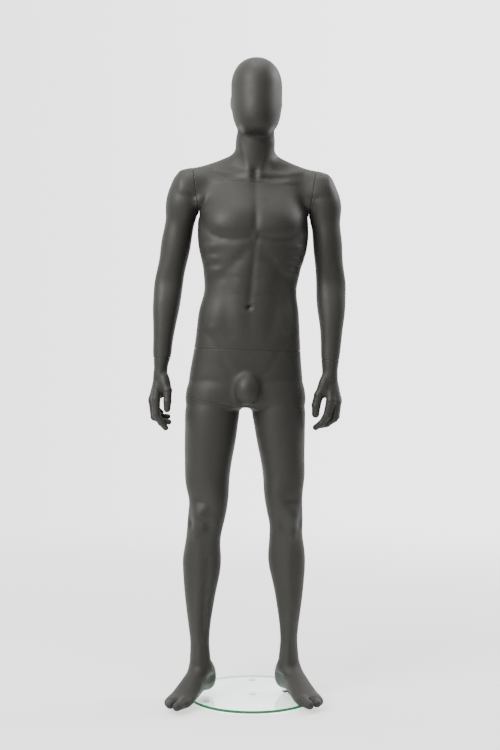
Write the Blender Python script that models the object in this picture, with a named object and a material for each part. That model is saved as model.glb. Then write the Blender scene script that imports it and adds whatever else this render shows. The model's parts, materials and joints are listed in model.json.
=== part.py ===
"""A full body male shop mannequin on a round glass base, in metres, +Z up, facing -Y.

The origin is on the floor under the middle of the glass. The figure is one continuous form, cut at its seams
into a torso with the head, two arms, two solid hands, the pelvis with the left leg, and the right leg. Each
shell is a few millimetres thick and open at its seams, where boards carry the steel fittings that join the
pieces.
"""

import math

import bmesh
import bpy
import numpy as np
from mathutils import Matrix, Vector

# ---------------------------------------------------------------- driving dimensions
WALL = 0.0050                    # thickness of the shells
SEAM = 0.0005                    # each piece stands this far back from its seam plane
INSET = 0.0085                   # the boards' edges lie this far inside the skin
SKIN_VOXEL, HOLLOW_VOXEL, HAND_VOXEL = 0.0050, 0.0090, 0.0018
SKIN_FACES, HOLLOW_FACES, HAND_FACES = 4200, 1500, 700
FIT = 0.0003                     # gap between neighbouring fittings

GLASS_RADIUS = 0.190
GLASS_BOTTOM, GLASS_TOP = 0.0042, 0.0122
PAD_RADIUS, PAD_HEIGHT, PAD_RING = 0.010, 0.0040, 0.155
SPIGOT = (0.1116, 0.0090)        # where the foot spigot stands
ROD_RADIUS, ROD_TOP = 0.0060, 0.2000
COLLAR_TOP, COLLAR_SCREW = 0.0215, 0.0193    # heights of the flange's collar and of its set screw
TUBE_BOTTOM, TUBE_TOP, TUBE_OUTER = 0.0300, 0.2150, 0.00825
CAVITY_FLOOR = 0.085             # the feet are solid below this height
SOLE = 0.0134                    # the feet's flat undersides, just clear of the glass

WAIST_SLOPE = 0.0257             # how far the waist seam drops to the figure's left, per metre
WAIST = Vector((-0.0145, 0.004, 1.0347))
THIGH_SLOPE = -0.2243            # how the thigh seam drops towards the crotch, per metre of X
THIGH = Vector((-0.1180, 0.006, 0.8810))
SHOULDER_LOW = {-1: (-0.1591, 1.4480), 1: (0.1700, 1.4406)}    # X and Z of each shoulder seam's ends
SHOULDER_HIGH = {-1: (-0.1751, 1.5692), 1: (0.1878, 1.5633)}
SHOULDER_DEEP = 0.022
WRIST_SEAM = {-1: 1.0103, 1: 1.0044}
SWING_RADIUS = 0.0805            # the round space at each shoulder that the arm turns in
ARM_GAP = {  # X and Z down the middle of the gap between each arm and the trunk
    -1: [(-0.1600, 1.4400), (-0.1666, 1.4244), (-0.1708, 1.3712), (-0.1726, 1.3000), (-0.1754, 1.2290),
         (-0.1872, 1.1580), (-0.1981, 1.0870), (-0.2086, 1.0160)],
    1: [(0.1690, 1.4330), (0.1720, 1.4244), (0.1728, 1.3712), (0.1687, 1.3000), (0.1640, 1.2500),
        (0.1652, 1.1580), (0.1718, 1.0870), (0.1734, 1.0160)],
}
CROTCH_X = -0.0190               # the right leg lies beyond this

# sections of the fittings: radii, and distances from the seam plane
BOARD_NEAR, BOARD_FAR = 0.0060, 0.0180
FLANGE_NEAR, FLANGE_FAR = 0.0029, 0.0057
HEAD_NEAR, HEAD_FAR = 0.0006, 0.0028
PEG_RADIUS, SOCKET_BORE, SOCKET_RADIUS = 0.0126, 0.0129, 0.0160
SQUARE_PEG, SQUARE_HOLE = 0.0071, 0.0074
WRIST_PEG, WRIST_HOLE = 0.0043, 0.0046

SKIN_COLOUR = (0.090, 0.089, 0.083)
MDF_COLOUR = (0.42, 0.30, 0.19)
STEEL_COLOUR = (0.62, 0.62, 0.63)
ZINC_COLOUR = (0.70, 0.68, 0.62)
CHROME_COLOUR = (0.82, 0.83, 0.84)
RUBBER_COLOUR = (0.80, 0.82, 0.81)    # clear silicone
CLEAR_COLOUR = (0.75, 0.88, 0.82)


# ---------------------------------------------------------------- field tools
def spline(rows):
    """Natural cubic spline through rows of (position, value, value, ...); constant past the ends."""
    rows = np.array(sorted(rows), float)
    t, y = rows[:, 0], rows[:, 1:]
    n, step = len(t), np.diff(t)
    matrix, right = np.eye(n), np.zeros_like(y)
    for i in range(1, n - 1):
        matrix[i, i - 1:i + 2] = step[i - 1], 2 * (step[i - 1] + step[i]), step[i]
        right[i] = 6 * ((y[i + 1] - y[i]) / step[i] - (y[i] - y[i - 1]) / step[i - 1])
    bend = np.linalg.solve(matrix, right)

    def at(x):
        x = np.clip(x, t[0], t[-1])
        i = np.clip(np.searchsorted(t, x) - 1, 0, n - 2)
        h = step[i][:, None]
        a = (t[i + 1] - x)[:, None] / h
        b = 1 - a
        return a * y[i] + b * y[i + 1] + ((a**3 - a) * bend[i] + (b**3 - b) * bend[i + 1]) * h * h / 6

    return at


def smooth_min(a, b, reach):
    h = np.maximum(reach - np.abs(a - b), 0.0) / reach
    return np.minimum(a, b) - h * h * reach * 0.25


def limb(along, across, deep, table, square=2.3, twist=1):
    """A tube whose sections are soft-cornered ovals.

    The table gives, along the tube: centre across, centre deep, half width, half depth to the minus side and
    to the plus side, and the section's turn in radians.
    """
    spline_at, low, high = table
    c = spline_at(along)
    x, y = across - c[:, 0], deep - c[:, 1]
    cos, sin = np.cos(c[:, 5]), twist * np.sin(c[:, 5])
    x, y = x * cos + y * sin, y * cos - x * sin
    out = np.hypot(x, y) + 1e-9
    half_deep = np.where(y < 0, c[:, 3], c[:, 4])
    share = (np.abs(x / c[:, 2]) ** square + np.abs(y / half_deep) ** square) ** (1 / square)
    side = out * (1 - 1 / np.maximum(share, 1e-6))
    end = np.maximum(low - along, along - high)
    return np.minimum(np.maximum(side, end), 0) + np.hypot(np.maximum(side, 0), np.maximum(end, 0))


def table(rows):
    rows = [tuple(r) + (0.0,) * (7 - len(r)) for r in rows]
    rows = [r[:6] + (np.radians(r[6]),) for r in rows]
    return spline(rows), min(r[0] for r in rows), max(r[0] for r in rows)


def egg(p, centre, low, high, lower_power=2.0):
    """An ellipsoid with its own radius each way; lower_power above 2 squares the half below the centre."""
    q = p - np.array(centre)
    r = np.where(q < 0, np.array(low), np.array(high))
    s = np.abs(q / r)
    power = np.where(q[:, 2] < 0, lower_power, 2.0)
    share = ((s[:, 0] ** 2 + s[:, 1] ** 2) ** (power / 2) + s[:, 2] ** power) ** (1 / power)
    return np.linalg.norm(q, axis=1) * (1 - 1 / np.maximum(share, 1e-6))


def bone(p, a, b, ra, rb):
    """A round bar from a to b with radii ra and rb."""
    a, b = np.array(a), np.array(b)
    t = np.clip((p - a) @ (b - a) / ((b - a) @ (b - a)), 0, 1)
    return np.linalg.norm(p - a - t[:, None] * (b - a), axis=1) - (ra + t * (rb - ra))


def mound(p, centre, radii, height):
    """How much a soft bump lifts the surface; a negative height is a hollow."""
    return height * np.exp(-(((p - np.array(centre)) / np.array(radii)) ** 2).sum(1))


def ridge(p, path, width, height):
    """The same along a line of points; a negative height is a groove."""
    path = np.array(path)
    near = np.full(len(p), np.inf)
    for a, b in zip(path[:-1], path[1:]):
        t = np.clip((p - a) @ (b - a) / ((b - a) @ (b - a)), 0, 1)
        near = np.minimum(near, ((p - a - t[:, None] * (b - a)) ** 2).sum(1))
    return height * np.exp(-near / width**2)


# ---------------------------------------------------------------- proportions
# heights and distances in metres, from the floor and from the middle of the base
MIDDLE = spline([(0.874, -0.0205), (0.945, -0.0190), (1.016, -0.0160), (1.052, -0.0140), (1.158, -0.0098),
                 (1.194, -0.0068), (1.229, -0.0043), (1.265, -0.0022), (1.300, 0.0001), (1.371, 0.0022),
                 (1.424, 0.0038), (1.560, 0.0062), (1.640, 0.0090), (1.800, 0.0124)])
LEAN = 0.020                     # how far each metre to the figure's left drops
FACING = np.radians(3.0)         # the trunk's turn towards its own left

TRUNK = table([  # height; middle: across, deep; half width, to the front, to the back
    (1.520, 0, 0.020, 0.115, 0.075, 0.085),
    (1.480, 0, 0.016, 0.145, 0.098, 0.098),
    (1.440, 0, 0.012, 0.162, 0.114, 0.107),
    (1.400, 0, 0.010, 0.165, 0.121, 0.110),
    (1.360, 0, 0.008, 0.1635, 0.122, 0.108),
    (1.320, 0, 0.006, 0.157, 0.118, 0.103),
    (1.280, 0, 0.004, 0.146, 0.113, 0.096),
    (1.235, 0, 0.002, 0.1390, 0.108, 0.087),
    (1.195, 0, 0.000, 0.1385, 0.104, 0.080),
    (1.160, 0, -0.001, 0.1455, 0.102, 0.077),
    (1.125, 0, -0.001, 0.1500, 0.101, 0.079),
    (1.090, 0, 0.000, 0.1530, 0.101, 0.085),
    (1.055, 0, 0.002, 0.1562, 0.100, 0.092),
    (1.020, 0, 0.004, 0.1600, 0.099, 0.100),
    (0.985, 0, 0.006, 0.1645, 0.098, 0.106),
    (0.950, 0, 0.007, 0.1685, 0.096, 0.109),
    (0.920, 0, 0.008, 0.1700, 0.092, 0.104),
    (0.890, 0, 0.008, 0.1660, 0.084, 0.092),
    (0.865, 0, 0.008, 0.1520, 0.070, 0.075),
])
GIRDLE = table([  # distance from the middle; deep, height; half depth, down, up
    (-0.02, 0.030, 1.50, 0.066, 0.05, 0.122),
    (0.020, 0.030, 1.50, 0.066, 0.05, 0.122),
    (0.062, 0.034, 1.50, 0.064, 0.05, 0.116),
    (0.084, 0.034, 1.50, 0.062, 0.05, 0.1060),
    (0.107, 0.032, 1.50, 0.060, 0.05, 0.0955),
    (0.136, 0.029, 1.50, 0.057, 0.035, 0.0840),
    (0.165, 0.026, 1.50, 0.055, 0.024, 0.0745),
    (0.190, 0.023, 1.50, 0.052, 0.022, 0.0650),
    (0.210, 0.021, 1.50, 0.046, 0.022, 0.0530),
])
NECK = table([
    (1.500, 0, 0.030, 0.064, 0.072, 0.066),
    (1.545, 0, 0.028, 0.0595, 0.068, 0.064),
    (1.580, 0, 0.024, 0.0590, 0.062, 0.062),
    (1.620, 0, 0.018, 0.0580, 0.059, 0.060),
    (1.660, 0, 0.010, 0.0575, 0.056, 0.058),
    (1.690, 0, 0.002, 0.0500, 0.048, 0.052),
    (1.705, 0, -0.002, 0.0440, 0.040, 0.046),
])
ARMS = {-1: table([
    (1.530, -0.2000, 0.020, 0.0200, 0.024, 0.024),
    (1.505, -0.2030, 0.020, 0.0330, 0.038, 0.039),
    (1.475, -0.2080, 0.020, 0.0405, 0.045, 0.047),
    (1.424, -0.2150, 0.021, 0.0435, 0.047, 0.050),
    (1.371, -0.2245, 0.022, 0.0450, 0.046, 0.050),
    (1.336, -0.2295, 0.024, 0.0445, 0.045, 0.048),
    (1.300, -0.2360, 0.025, 0.0428, 0.042, 0.044),
    (1.265, -0.2440, 0.025, 0.0424, 0.039, 0.042),
    (1.229, -0.2500, 0.024, 0.0428, 0.038, 0.042),
    (1.194, -0.2535, 0.021, 0.0412, 0.042, 0.042),
    (1.158, -0.2570, 0.016, 0.0388, 0.043, 0.039),
    (1.123, -0.2600, 0.011, 0.0352, 0.041, 0.036),
    (1.087, -0.2630, 0.006, 0.0316, 0.037, 0.032),
    (1.052, -0.2658, 0.002, 0.0288, 0.033, 0.029),
    (1.016, -0.2680, -0.001, 0.0262, 0.031, 0.027),
    (0.981, -0.2705, -0.004, 0.0180, 0.028, 0.024),
    (0.955, -0.2715, -0.005, 0.0150, 0.024, 0.020),
]), 1: table([
    (1.530, 0.2060, 0.020, 0.0200, 0.024, 0.024),
    (1.505, 0.2095, 0.020, 0.0330, 0.038, 0.039),
    (1.475, 0.2150, 0.020, 0.0405, 0.045, 0.047),
    (1.424, 0.2180, 0.021, 0.0432, 0.047, 0.050),
    (1.371, 0.2230, 0.022, 0.0435, 0.046, 0.050),
    (1.336, 0.2252, 0.024, 0.0434, 0.045, 0.048),
    (1.300, 0.2278, 0.025, 0.0422, 0.042, 0.044),
    (1.265, 0.2316, 0.025, 0.0428, 0.039, 0.042),
    (1.229, 0.2346, 0.024, 0.0440, 0.038, 0.042),
    (1.194, 0.2346, 0.021, 0.0433, 0.042, 0.042),
    (1.158, 0.2352, 0.016, 0.0412, 0.043, 0.039),
    (1.123, 0.2356, 0.011, 0.0372, 0.041, 0.036),
    (1.087, 0.2348, 0.006, 0.0330, 0.037, 0.032),
    (1.052, 0.2335, 0.002, 0.0304, 0.033, 0.029),
    (1.016, 0.2315, -0.001, 0.0278, 0.031, 0.027),
    (0.981, 0.2300, -0.004, 0.0235, 0.028, 0.024),
    (0.950, 0.2275, -0.005, 0.0190, 0.024, 0.020),
])}
LEGS = {-1: table([  # height; middle: across, deep; half width, front, back, turn out in degrees
    (0.945, -0.1050, 0.010, 0.0600, 0.074, 0.080, 0),
    (0.900, -0.1140, 0.009, 0.0730, 0.086, 0.090, 0),
    (0.857, -0.1185, 0.008, 0.0808, 0.092, 0.094, 0),
    (0.821, -0.1211, 0.006, 0.0795, 0.091, 0.090, 0),
    (0.768, -0.1251, 0.004, 0.0763, 0.088, 0.083, 0),
    (0.715, -0.1300, 0.002, 0.0713, 0.083, 0.076, 0),
    (0.661, -0.1326, -0.002, 0.0660, 0.077, 0.068, 0),
    (0.626, -0.1316, -0.005, 0.0620, 0.072, 0.063, 2),
    (0.591, -0.1302, -0.007, 0.0578, 0.067, 0.058, 4),
    (0.555, -0.1337, -0.008, 0.0567, 0.062, 0.055, 6),
    (0.520, -0.1390, -0.007, 0.0542, 0.058, 0.053, 8),
    (0.484, -0.1446, -0.003, 0.0515, 0.054, 0.053, 9),
    (0.449, -0.1485, 0.000, 0.0530, 0.051, 0.057, 10),
    (0.413, -0.1503, 0.002, 0.0566, 0.050, 0.062, 10),
    (0.378, -0.1512, 0.002, 0.0552, 0.049, 0.061, 11),
    (0.342, -0.1534, 0.001, 0.0508, 0.047, 0.057, 12),
    (0.307, -0.1556, -0.001, 0.0456, 0.045, 0.051, 12),
    (0.271, -0.1568, -0.004, 0.0402, 0.042, 0.045, 13),
    (0.236, -0.1575, -0.008, 0.0350, 0.039, 0.040, 14),
    (0.200, -0.1572, -0.013, 0.0302, 0.036, 0.036, 16),
    (0.165, -0.1560, -0.018, 0.0272, 0.034, 0.035, 20),
    (0.129, -0.1548, -0.024, 0.0285, 0.036, 0.036, 25),
    (0.085, -0.1540, -0.028, 0.0305, 0.036, 0.038, 30),
]), 1: table([
    (0.945, 0.0660, 0.010, 0.0600, 0.074, 0.080, 0),
    (0.900, 0.0735, 0.009, 0.0725, 0.086, 0.090, 0),
    (0.857, 0.0775, 0.008, 0.0795, 0.092, 0.094, 0),
    (0.821, 0.0803, 0.006, 0.0770, 0.091, 0.090, 0),
    (0.768, 0.0843, 0.004, 0.0720, 0.088, 0.083, 0),
    (0.715, 0.0895, 0.002, 0.0665, 0.083, 0.076, 0),
    (0.661, 0.0924, -0.002, 0.0610, 0.077, 0.068, 0),
    (0.626, 0.0915, -0.005, 0.0570, 0.072, 0.063, 2),
    (0.591, 0.0932, -0.007, 0.0550, 0.067, 0.058, 4),
    (0.555, 0.0965, -0.008, 0.0530, 0.062, 0.055, 6),
    (0.520, 0.0998, -0.005, 0.0495, 0.058, 0.053, 8),
    (0.484, 0.1000, 0.000, 0.0492, 0.054, 0.053, 9),
    (0.449, 0.1014, 0.005, 0.0525, 0.051, 0.057, 10),
    (0.413, 0.1023, 0.008, 0.0548, 0.050, 0.062, 10),
    (0.378, 0.1044, 0.009, 0.0520, 0.049, 0.061, 10),
    (0.342, 0.1072, 0.010, 0.0463, 0.047, 0.057, 10),
    (0.307, 0.1090, 0.009, 0.0412, 0.045, 0.051, 10),
    (0.271, 0.1096, 0.007, 0.0360, 0.042, 0.045, 11),
    (0.236, 0.1097, 0.004, 0.0308, 0.039, 0.040, 12),
    (0.200, 0.1092, 0.001, 0.0264, 0.036, 0.036, 14),
    (0.165, 0.1085, -0.002, 0.0247, 0.034, 0.035, 17),
    (0.129, 0.1080, -0.006, 0.0275, 0.036, 0.036, 20),
    (0.085, 0.1085, -0.010, 0.0300, 0.036, 0.038, 22),
])}
FOOT = table([  # forward from the ankle; outward, height; half width, down, up
    (-0.030, 0.000, 0.062, 0.0265, 0.034, 0.040),
    (-0.005, 0.001, 0.060, 0.0300, 0.033, 0.050),
    (0.030, 0.003, 0.054, 0.0325, 0.029, 0.046),
    (0.060, 0.002, 0.046, 0.0345, 0.027, 0.038),
    (0.090, 0.001, 0.036, 0.0370, 0.0215, 0.031),
    (0.115, 0.000, 0.029, 0.0395, 0.0160, 0.0245),
    (0.138, 0.000, 0.0255, 0.0385, 0.0130, 0.0185),
    (0.150, 0.001, 0.0250, 0.0350, 0.0125, 0.0150),
])
ANKLES = {-1: (-0.1510, -0.028, 26.5), 1: (0.1085, -0.009, 23.5)}  # across, deep, turned out in degrees
WRISTS = {-1: (-0.2710, -0.005, 0.981), 1: (0.2300, -0.005, 0.975)}
HAND_TURN = {-1: 8.0, 1: 25.0}


# ---------------------------------------------------------------- the figure
def to_trunk(p):
    """The trunk's own frame, in which it is symmetric about zero across."""
    x, y = p[:, 0] - MIDDLE(p[:, 2])[:, 0], p[:, 1]
    u = x * np.cos(FACING) + y * np.sin(FACING)
    return np.stack([u, y * np.cos(FACING) - x * np.sin(FACING), p[:, 2] + LEAN * u], 1)


def mirrored(q):
    return np.stack([np.abs(q[:, 0]), q[:, 1], q[:, 2]], 1)


def trunk(q):
    m = mirrored(q)
    a, y, z = m.T
    d = limb(z, q[:, 0], y, TRUNK, 2.35)
    d = smooth_min(d, limb(a, y, z, GIRDLE, 2.2), 0.045)
    d = smooth_min(d, limb(z, q[:, 0], y, NECK, 2.1), 0.022)
    # crotch and seat
    d = smooth_min(d, egg(m, (0, -0.080, 0.917), (0.038, 0.036, 0.042), (0.038, 0.03, 0.048)), 0.018)
    d -= mound(m, (0.078, 0.110, 0.925), (0.062, 0.060, 0.075), 0.026)
    d -= ridge(q, [(0, 0.135, 1.03), (0, 0.145, 0.96), (0, 0.125, 0.88)], 0.013, -0.022)
    # chest
    d -= mound(m, (0.082, -0.118, 1.408), (0.070, 0.060, 0.050), 0.011)
    d -= mound(m, (0.120, -0.100, 1.395), (0.040, 0.050, 0.035), 0.004)
    d -= ridge(m, [(0.165, -0.070, 1.428), (0.143, -0.092, 1.390), (0.120, -0.106, 1.369),
                   (0.095, -0.116, 1.357), (0.062, -0.122, 1.352), (0.030, -0.124, 1.355),
                   (0.0, -0.124, 1.366)], 0.014, -0.0055)
    d -= ridge(q, [(0, -0.105, 1.51), (0, -0.125, 1.42), (0, -0.125, 1.34), (0, -0.115, 1.25),
                   (0, -0.105, 1.16)], 0.0105, -0.0042)
    # back
    d -= ridge(q, [(0, 0.10, 1.56), (0, 0.125, 1.44), (0, 0.112, 1.33), (0, 0.085, 1.20),
                   (0, 0.085, 1.10)], 0.016, -0.010)
    d -= mound(m, (0.088, 0.115, 1.435), (0.048, 0.050, 0.065), 0.008)
    d -= mound(m, (0.040, 0.085, 1.18), (0.026, 0.04, 0.10), 0.006)
    return d


def head(q):
    z = q[:, 2]
    lean = 0.20 * np.clip(1.80 - z, 0, 0.2)
    h = np.stack([q[:, 0], q[:, 1] + lean, z], 1)
    d = egg(h, (0, -0.006, 1.806), (0.0755, 0.097, 0.144), (0.0755, 0.097, 0.088), 2.95)
    ear = egg(mirrored(h), (0.0690, 0.018, 1.764), (0.0085, 0.017, 0.024), (0.0085, 0.017, 0.020))
    return smooth_min(d, ear, 0.008)


def arm(p, q, side):
    m = np.stack([q[:, 0] * side, q[:, 1], q[:, 2]], 1)
    d = limb(p[:, 2], p[:, 0], p[:, 1], ARMS[side], 2.15)
    d = smooth_min(d, bone(m, (0.160, -0.022, 1.470), (0.160, 0.055, 1.470), 0.015, 0.015), 0.030)
    return smooth_min(d, egg(m, (0.2060, 0.020, 1.470), (0.038, 0.054, 0.060), (0.0480, 0.054, 0.084)), 0.03)


# each finger's joints in the hand's own frame (outward, forward, down from the wrist) and its radii
RIGHT_FINGERS = [
    ([(0.006, 0.010, 0.018), (0.019, 0.020, 0.092), (0.019, 0.026, 0.139),
      (0.004, 0.028, 0.161), (-0.0110, 0.029, 0.1770)],
     [0.0100, 0.0112, 0.0088, 0.0080, 0.0068]),
    ([(0.006, 0.003, 0.018), (0.026, 0.002, 0.096), (0.021, 0.006, 0.145),
      (-0.005, 0.008, 0.1585), (-0.0220, 0.009, 0.1600)],
     [0.0100, 0.0114, 0.0090, 0.0082, 0.0070]),
    ([(0.005, -0.005, 0.018), (0.025, -0.016, 0.092), (0.020, -0.014, 0.136),
      (-0.005, -0.012, 0.1440), (-0.0215, -0.011, 0.1420)],
     [0.0100, 0.0110, 0.0086, 0.0078, 0.0067]),
    ([(0.004, -0.010, 0.018), (0.020, -0.033, 0.083), (0.016, -0.033, 0.117),
      (-0.004, -0.031, 0.1240), (-0.0175, -0.030, 0.1220)],
     [0.0095, 0.0100, 0.0075, 0.0068, 0.0058]),
    ([(0.000, 0.012, 0.018), (-0.0160, 0.034, 0.066), (-0.0145, 0.041, 0.098), (-0.0140, 0.041, 0.1220)],
     [0.0105, 0.0120, 0.0098, 0.0080]),
]
LEFT_FINGERS = [
    ([(0.006, 0.008, 0.018), (0.0190, 0.020, 0.092), (0.0090, 0.024, 0.139),
      (-0.0120, 0.026, 0.1590), (-0.0345, 0.027, 0.1700)],
     [0.0105, 0.0118, 0.0092, 0.0080, 0.0068]),
    ([(0.006, 0.003, 0.018), (0.0220, 0.002, 0.096), (0.0160, 0.004, 0.144),
      (-0.0070, 0.006, 0.1600), (-0.0250, 0.007, 0.1660)],
     [0.0105, 0.0116, 0.0092, 0.0082, 0.0070]),
    ([(0.005, -0.005, 0.018), (0.0205, -0.014, 0.092), (0.0160, -0.012, 0.138),
      (-0.0040, -0.010, 0.1520), (-0.0220, -0.009, 0.1540)],
     [0.0100, 0.0110, 0.0088, 0.0078, 0.0067]),
    ([(0.004, -0.010, 0.018), (0.0140, -0.028, 0.084), (0.0110, -0.028, 0.118),
      (-0.0060, -0.026, 0.1270), (-0.0190, -0.025, 0.1270)],
     [0.0095, 0.0102, 0.0077, 0.0068, 0.0058]),
    ([(-0.002, 0.012, 0.020), (-0.0255, 0.030, 0.074), (-0.0316, 0.034, 0.108),
      (-0.0328, 0.035, 0.1330)],
     [0.0115, 0.0125, 0.0095, 0.0076]),
]
FINGERS = {-1: RIGHT_FINGERS, 1: LEFT_FINGERS}


def to_hand(p, side):
    """The hand's own frame: outward to the back of the hand, forward to the thumb, down to the fingers."""
    wrist = WRISTS[side]
    x, y = (p[:, 0] - wrist[0]) * side, p[:, 1] - wrist[1]
    c, s = np.cos(np.radians(HAND_TURN[side])), np.sin(np.radians(HAND_TURN[side]))
    return np.stack([x * c - y * s, -y * c - x * s, wrist[2] - p[:, 2]], 1)


def hand(p, side):
    h = to_hand(p, side)
    d = np.full(len(h), 1.0)
    for joints, radii in FINGERS[side]:
        one = np.full(len(h), 1.0)
        for i in range(len(joints) - 1):
            one = smooth_min(one, bone(h, joints[i], joints[i + 1], radii[i], radii[i + 1]), 0.003)
        web = np.clip((h[:, 2] - 0.085) / 0.03, 0, 1)
        d = smooth_min(d, one, 0.011 - 0.0085 * web)
    d = smooth_min(d, egg(h, (-0.008, 0.020, 0.046), (0.012, 0.015, 0.028), (0.012, 0.014, 0.032)), 0.014)
    d = smooth_min(d, egg(h, (-0.002, -0.022, 0.055), (0.014, 0.013, 0.036), (0.014, 0.014, 0.036)), 0.014)
    return d


def to_foot(p, side):
    x0, y0, turn = ANKLES[side]
    c, s = np.cos(np.radians(turn)), np.sin(np.radians(turn))
    x, y = (p[:, 0] - x0) * side, -(p[:, 1] - y0)
    return np.stack([x * s + y * c, x * c - y * s, p[:, 2]], 1)  # forward, outward, up


def foot(p, side):
    f = to_foot(p, side)
    d = limb(f[:, 0], f[:, 1], f[:, 2], FOOT, 2.4)
    d = smooth_min(d, egg(f, (-0.030, 0.0, 0.062), (0.033, 0.0275, 0.037), (0.034, 0.0275, 0.050)), 0.02)
    toe = bone(f, (0.140, -0.0215, 0.0275), (0.178, -0.0190, 0.0255), 0.0150, 0.0125)
    rest = bone(f, (0.138, 0.0090, 0.0265), (0.1680, 0.0090, 0.0245), 0.0135, 0.0115)
    small = bone(f, (0.130, 0.0260, 0.0255), (0.1510, 0.0250, 0.0235), 0.0130, 0.0110)
    rest = smooth_min(rest, small, 0.018)
    d = smooth_min(d, smooth_min(toe, rest, 0.003), 0.010)
    return -smooth_min(-d, f[:, 2] - SOLE, 0.004)


def leg(p, side):
    d = limb(p[:, 2], p[:, 0], p[:, 1], LEGS[side], 2.15, -side)
    return smooth_min(d, foot(p, side), 0.022)


FAR = 0.25


def body(p):
    """Signed distance to the whole figure."""
    q = to_trunk(p)
    d = np.full(len(p), FAR)

    def merge(mask, make, reach):
        if mask.any():
            r = reach[mask] if hasattr(reach, "__len__") else reach
            d[mask] = smooth_min(d[mask], make(mask), r)

    z = p[:, 2]
    merge((z > 0.78) & (z < 1.75), lambda m: trunk(q[m]), 0.01)
    merge(z > 1.58, lambda m: head(q[m]), 0.016)
    for side in (-1, 1):
        out = q[:, 0] * side
        shoulder = np.clip((q[:, 2] - 1.455) / 0.06, 0, 1)
        merge((out > 0.10) & (z > 0.90) & (z < 1.64), lambda m: arm(p[m], q[m], side),
              0.006 + 0.040 * shoulder)
        merge((out > 0.15) & (z < 1.02) & (z > 0.74), lambda m: hand(p[m], side), 0.008)
        merge((z < 0.97) & ((p[:, 0] + 0.0195) * side > -0.03), lambda m: leg(p[m], side),
              0.042 * np.clip((z - 0.83) / 0.05, 0.1, 1))
    return d


def settle(points, form, level=0.0, rounds=6, most=0.012):
    """Moves points along the form's slope until they lie where its distance is level."""
    p = points.copy()
    e = 2e-4
    for _ in range(rounds):
        f = form(p) - level
        g = np.stack([(form(p + e * axis) - level - f) / e for axis in np.eye(3)], 1)
        step = f[:, None] * g / np.maximum((g * g).sum(1), 0.2)[:, None]
        length = np.linalg.norm(step, axis=1)
        p -= step * np.minimum(1, most / np.maximum(length, 1e-9))[:, None]
    return p


# ---------------------------------------------------------------- rough solids, drawn onto the form later
def ring_mesh(bm, rings, hollow=False):
    """Skins a row of rings with equal counts; hollow joins the last ring to the first instead of capping."""
    loops = [[bm.verts.new(point) for point in ring] for ring in rings]
    pairs = list(zip(loops[:-1], loops[1:]))
    if hollow:
        pairs.append((loops[-1], loops[0]))
    for a, b in pairs:
        for i in range(len(a)):
            j = (i + 1) % len(a)
            bm.faces.new((a[i], a[j], b[j], b[i]))
    if not hollow:
        bm.faces.new(list(reversed(loops[0])))
        bm.faces.new(loops[-1])


def oval(c, z, turn=0.0, count=24):
    """A rough section from a table's row: middle, half width, depths to the front and to the back."""
    points = []
    for i in range(count):
        a = 2 * math.pi * i / count
        x = 0.97 * c[2] * math.cos(a)
        y = 0.97 * (c[4] if math.sin(a) > 0 else c[3]) * math.sin(a)
        points.append((c[0] + x * math.cos(turn) - y * math.sin(turn),
                       c[1] + x * math.sin(turn) + y * math.cos(turn), z))
    return points


def capsule(bm, a, b, ra, rb, count=12):
    a, b = np.array(a), np.array(b)
    along = (b - a) / np.linalg.norm(b - a)
    u = np.cross(along, (0.3, 1.0, 0.2))
    u /= np.linalg.norm(u)
    v = np.cross(along, u)
    rings = []
    for shift, share, end, radius in ((-0.9, 0.45, a, ra), (-0.5, 0.85, a, ra), (0, 1, a, ra),
                                      (0, 1, b, rb), (0.5, 0.85, b, rb), (0.9, 0.45, b, rb)):
        angles = [2 * math.pi * i / count for i in range(count)]
        rings.append([tuple(end + along * shift * radius
                            + share * radius * (u * math.cos(t) + v * math.sin(t))) for t in angles])
    ring_mesh(bm, rings)


def from_trunk(u, v, w):
    z = w - LEAN * u
    x = MIDDLE(np.array([z]))[0, 0]
    return (x + u * math.cos(FACING) - v * math.sin(FACING), u * math.sin(FACING) + v * math.cos(FACING), z)


def from_hand(h, side):
    wrist, turn = WRISTS[side], math.radians(HAND_TURN[side])
    x = h[0] * math.cos(turn) - h[1] * math.sin(turn)
    y = -h[1] * math.cos(turn) - h[0] * math.sin(turn)
    return (wrist[0] + side * x, wrist[1] + y, wrist[2] - h[2])


def from_foot(f, side):
    x0, y0, turn = ANKLES[side]
    turn = math.radians(turn)
    x = f[0] * math.sin(turn) + f[1] * math.cos(turn)
    y = f[0] * math.cos(turn) - f[1] * math.sin(turn)
    return (x0 + side * x, y0 - y, f[2])


def row(table_, position):
    return table_[0](np.array([position]))[0]


def rough_trunk(bm):
    ring_mesh(bm, [[from_trunk(*v) for v in oval(row(TRUNK, z), z)] for z in np.linspace(0.865, 1.52, 22)])
    ring_mesh(bm, [[from_trunk(*v) for v in oval(row(NECK, z), z)] for z in np.linspace(1.46, 1.69, 10)])
    for side in (-1, 1):
        rings = []
        for a in np.linspace(-0.02, 0.21, 9):
            c = row(GIRDLE, a)
            angles = [2 * math.pi * k / 20 for k in range(20)]
            ring = [from_trunk(side * a, c[0] + c[2] * math.cos(t),
                               c[1] + (c[4] if math.sin(t) > 0 else c[3]) * math.sin(t)) for t in angles]
            rings.append(ring if side > 0 else list(reversed(ring)))
        ring_mesh(bm, rings)
    capsule(bm, from_trunk(0, -0.080, 0.930), from_trunk(0, -0.080, 0.905), 0.034, 0.034)


def rough_head(bm):
    rings = []
    for k in range(1, 20):
        t = math.pi * (k / 20 - 0.5)
        share = math.cos(t) ** (0.7 if t < 0 else 1.0)
        z = 1.806 + 0.98 * math.sin(t) * (0.157 if t < 0 else 0.088)
        back = 0.20 * min(max(1.80 - z, 0), 0.2)
        section = oval((0, -0.006 - back, 0.0755 * share, 0.097 * share, 0.097 * share), z)
        rings.append([from_trunk(*v) for v in section])
    ring_mesh(bm, rings)


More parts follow.
